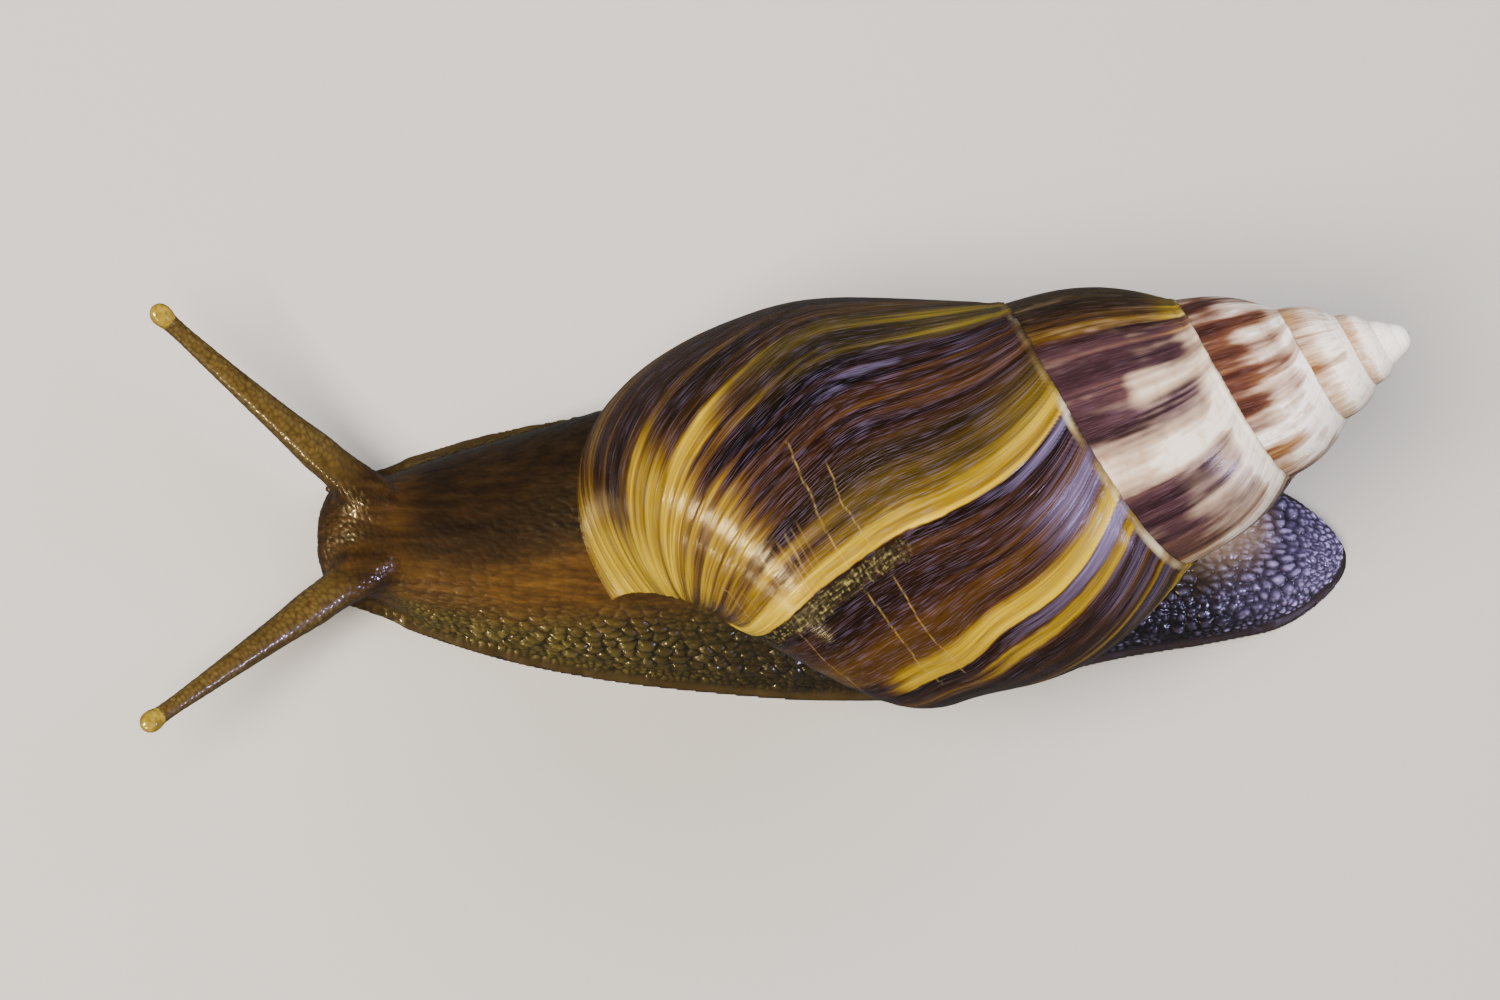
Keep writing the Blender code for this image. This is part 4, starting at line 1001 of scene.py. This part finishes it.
def soften(mesh):
    """Round off the joints where the feelers grow out of the head."""
    places = vertex_array(mesh)
    edges = np.empty(len(mesh.edges) * 2, np.int32)
    mesh.edges.foreach_get("vertices", edges)
    first, second = edges.reshape(-1, 2).T
    count = np.bincount(edges, minlength=len(places))
    roots = np.array(UPPER_FEELERS)
    roots = 0.96 * roots[:, 0] + 0.04 * roots[:, 1]
    away = np.min([np.linalg.norm(places - root, axis=1) for root in roots], axis=0)
    share = 0.5 * ramp(5.6, 2.6, away)[:, None]
    for _ in range(SOFTEN_ROUNDS):
        total = np.zeros_like(places)
        for k in range(3):
            total[:, k] = np.bincount(first, places[second, k], len(places))
            total[:, k] += np.bincount(second, places[first, k], len(places))
        places = places + share * (total / count[:, None] - places)
    move_vertices(mesh, places)


def feeler_distance(places):
    """Distance from each place to the nearer upper feeler's line, how far along it, and the turn round it."""
    best, along, turned = np.full(len(places), FAR), 0, 0
    for base, tip in np.array(UPPER_FEELERS):
        chord = tip - base
        t = limit((places - base) @ chord / (chord @ chord))
        off = places - base - t[:, None] * chord
        off[:, 2] += 4 * UPPER_FEELER_SAG * t * (1 - t)
        away = np.linalg.norm(off, axis=1)
        level = unit(np.cross(chord, (0, 0, 1)))
        turned = np.where(away < best, np.arctan2(off[:, 2], off @ level), turned)
        along = np.where(away < best, t, along)
        best = np.minimum(best, away)
    return best, along, turned


def collar_distance(places):
    """Distance from each place to the mantle's outer face."""
    spots = vertex_array(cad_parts["mantle"].data)
    tree = KDTree(len(spots))
    for k, spot in enumerate(spots):
        tree.insert(spot, k)
    tree.balance()
    near = (np.abs(places[:, 1] + 18) < 30) & (places[:, 2] > 8)
    away = np.full(len(places), FAR)
    away[near] = [tree.find(p)[2] for p in places[near]]
    return away


def shape_skin(mesh):
    """Raise warts and cut grooves, and store the regions, the painted shade and the painted light on the
    tail's tip for the material.
    """
    places, normals = vertex_array(mesh), vertex_array(mesh, normals=True)
    x, y, z = places.T
    half, full, crest = station(1, y), station(2, y), station(3, y)
    lean = crest * np.clip((z - GROOVE_HEIGHT) / np.maximum(full - GROOVE_HEIGHT, 1), 0, 1.2)
    angle = np.degrees(np.arctan2(z - 0.3 * full, x - lean))  # 90 on the back, 0 on the snail's left
    off_back = np.abs(angle - 90)
    arc = np.radians(angle) * 0.5 * (half + full)
    sole = ramp(0.35, 0.05, z) * (y > -52)
    fringe = ramp(1.75, 1.25, z) * ramp(FRINGE_START - 1, FRINGE_START + 2, y)
    away, along, turned = feeler_distance(places)
    feeler = ramp(3.6, 2.4, away) * ramp(0.02, 0.22, along) * (y < -50)
    feeler = np.maximum(feeler, ramp(0.15, 0.3, along) * (away < 3) * (y < -53))
    # The neck's colour reaches further round the snail's right side, as painted shade over the flank there.
    neck = ramp(78, 46, np.where(angle > 90, 0.4, 1) * off_back)
    neck = neck * ramp(-10, -22, y) * (1 - feeler)
    head = ramp(-44, -50, y)
    neck = np.maximum(neck, 0.9 * head) * (1 - fringe)
    tail = ramp(10, 26, y)
    ridge = bump_at(x, -4.4, 4.2) * ramp(19, 30, y) * ramp(48, 36, y)
    ridge = ridge * ramp(1.6, 3.2, z) * ramp(0.3, 0.75, normals[:, 2])
    ridge = ridge * ramp(-0.75, -0.3, normals[:, 0])
    ridge = ridge * (0.95 + 0.65 * blotches(y / 3, arc / 2, 35))
    warp = 0.5 * (blotches(y / 4, arc / 4, 21) - 0.5)
    slant = y + 0.3 * arc
    # Flank: rounded warts in slanting rows, small ones low down and towards the head.
    large = domes(slant / 1.7 + warp, arc / 1.4 + warp, 0.75, 22)
    small = domes(slant / 0.85 + warp, arc / 0.75 + warp, 0.8, 28)
    low = np.maximum(ramp(4.4, 2.6, z), ramp(-38, -46, y))
    low = limit(low + 0.5 * ramp(0.55, 0.8, blotches(y / 6, arc / 4, 29)))
    flank_wart = large * (1 - low) * (0.8 + 0.2 * small) + small * low
    flank_height = (0.66 * large + 0.1 * small) * (1 - low) + 0.32 * small * low
    calm = ramp(40, 62, off_back) * (1 - tail) + tail
    flank_height = flank_height * (0.35 + 0.65 * calm)
    # Neck: small long warts in rows. Head: granules. Feelers: fine granules round them.
    neck_wart = domes(y / 1.5 + warp, arc / 0.55 + warp, 0.8, 23)
    head_wart = domes(y / 0.7, arc / 0.62, 0.8, 24)
    feeler_wart = domes(along * 52, turned * (2.6 - 1.1 * along) + along * 4, 0.85, 25)
    on_neck, on_head = neck * (1 - head), neck * head
    wart = flank_wart * (1 - neck) + neck_wart * on_neck + head_wart * on_head
    wart = wart * (1 - feeler) + feeler_wart * feeler
    height = flank_height * (1 - neck) + 0.09 * neck_wart * on_neck + 0.13 * head_wart * on_head
    height = height * (1 - feeler) + (0.3 + 0.055 * feeler_wart) * feeler
    bare = (1 - 0.92 * fringe) * (1 - sole)
    folds = (waves(slant, 3.4, 26) - 0.5) * 0.4 * (1 - neck) * (1 - feeler)
    ripples = (waves(y, 1.4, 27) - 0.5) * 0.18 * fringe
    depth = np.where(sole > 0.5, 0, (height + folds) * bare + ripples * (1 - sole) - SKIN_INSET)
    places = places + normals * depth[:, None]
    places[:, 2] = np.maximum(places[:, 2], 0)
    move_vertices(mesh, places)
    # Painted shade: the neck darkens from the left of its back round to the snail's right side, and the head
    # darkens too.
    shade = np.maximum(0.95 * ramp(48, 82, angle) * (1 - 0.6 * head), 0.65 * head) * (1 - tail)
    # The flank darkens towards the back, and painted shade darkens the snail's right side.
    dim = 0.85 * np.maximum(ramp(-38, -4, y), ramp(88, 108, angle)) * (1 - tail)
    # Painted light: where the tail's tip is lit, its warts turn paler lavender.
    tip = ramp(40, 54, y + 0.5 * z)
    collar = ramp(1.3, 0.3, collar_distance(places)) * (y < 0)
    layers = (wart * bare, neck, tail, ridge, fringe, feeler, shade, collar, dim, tip)
    for name, values in zip(SKIN_LAYERS, layers):
        store(mesh, name, limit(values))


def build_eyes():
    """Eye bulbs at the tips of the upper feelers, each with its pupil."""
    made, material = [], eye_material()
    for side, ends in zip(("right", "left"), UPPER_FEELERS):
        start, end = np.array(ends)
        rings = feeler_rings(ends, BULB_RADII, UPPER_FEELER_SAG, 48, 48)
        last = end - (end - start) * 0.002
        bulb = closed_object(f"eye_bulb_{side}", *closed_tube(rings, rings[0].mean(0), last))
        bulb.data.shade_smooth()
        bulb.data.materials.append(material)
        centre = start + (end - start) * 0.955
        spot = centre + (unit(end - start) - np.array((0, 0, 0.15))) * 0.9
        away = np.linalg.norm(vertex_array(bulb.data) - spot, axis=1)
        store(bulb.data, "pupil", ramp(0.36, 0.26, away))
        made.append(bulb)
    return made


# ---------------------------------------------------------------- stage
def build_stage():
    """Floor, lights and camera."""
    corners = [(x * FLOOR_REACH, y * FLOOR_REACH, 0) for x, y in ((-1, -1), (1, -1), (1, 1), (-1, 1))]
    floor = closed_object("floor", corners, [(0, 1, 2, 3)])
    floor.data.materials.append(floor_material())
    floor.visible_glossy = False  # keeps its glare off the dark wet parts
    scene = bpy.context.scene
    scene.world = bpy.data.worlds.new("studio")
    scene.world.use_nodes = True
    sky = scene.world.node_tree.nodes["Background"]
    plug(sky, {"Color": "#f2eee8", "Strength": 0.12})
    for name, place, size, power, code, gives_gloss in LAMPS:
        lamp = bpy.data.lights.new(name, "AREA")
        lamp.size, lamp.energy, lamp.color = size, power, colour(code)[:3]
        holder = new_object(name, lamp)
        holder.location = place
        holder.rotation_euler = (LAMP_AIM - Vector(place)).to_track_quat("-Z", "Y").to_euler()
        holder.visible_glossy, holder.visible_diffuse = gives_gloss, not gives_gloss
    lens = bpy.data.cameras.new("camera")
    lens.lens = CAMERA_LENS
    flat = math.cos(CAMERA_ELEVATION)
    back = Vector(
        (flat * math.sin(CAMERA_AZIMUTH), -flat * math.cos(CAMERA_AZIMUTH), math.sin(CAMERA_ELEVATION))
    )
    level = (Vector((0, 0, 1)) - back * back.z).normalized()
    up = level * math.cos(CAMERA_ROLL) + level.cross(back) * math.sin(CAMERA_ROLL)
    turned = Matrix((up.cross(back), up, back)).transposed().to_4x4()
    scene.camera = new_object("camera", lens)
    scene.camera.matrix_world = Matrix.Translation(CAMERA_AIM + back * CAMERA_DISTANCE) @ turned


# ---------------------------------------------------------------- build
shell_nodes = [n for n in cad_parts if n.startswith("shell")]
flesh_nodes = [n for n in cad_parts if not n.startswith(("shell", "eye"))]

build_stage()
shell, inside = build_shell()
skin = build_skin()
right_eye, left_eye = build_eyes()
for piece, nodes, slot in (
    (shell, shell_nodes, "shell"),
    (inside, (), "shell"),
    (skin, flesh_nodes, "skin"),
    (right_eye, ("eye_right",), "eye"),
    (left_eye, ("eye_left",), "eye"),
):
    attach(piece, "root")
    if nodes:
        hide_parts(*nodes)
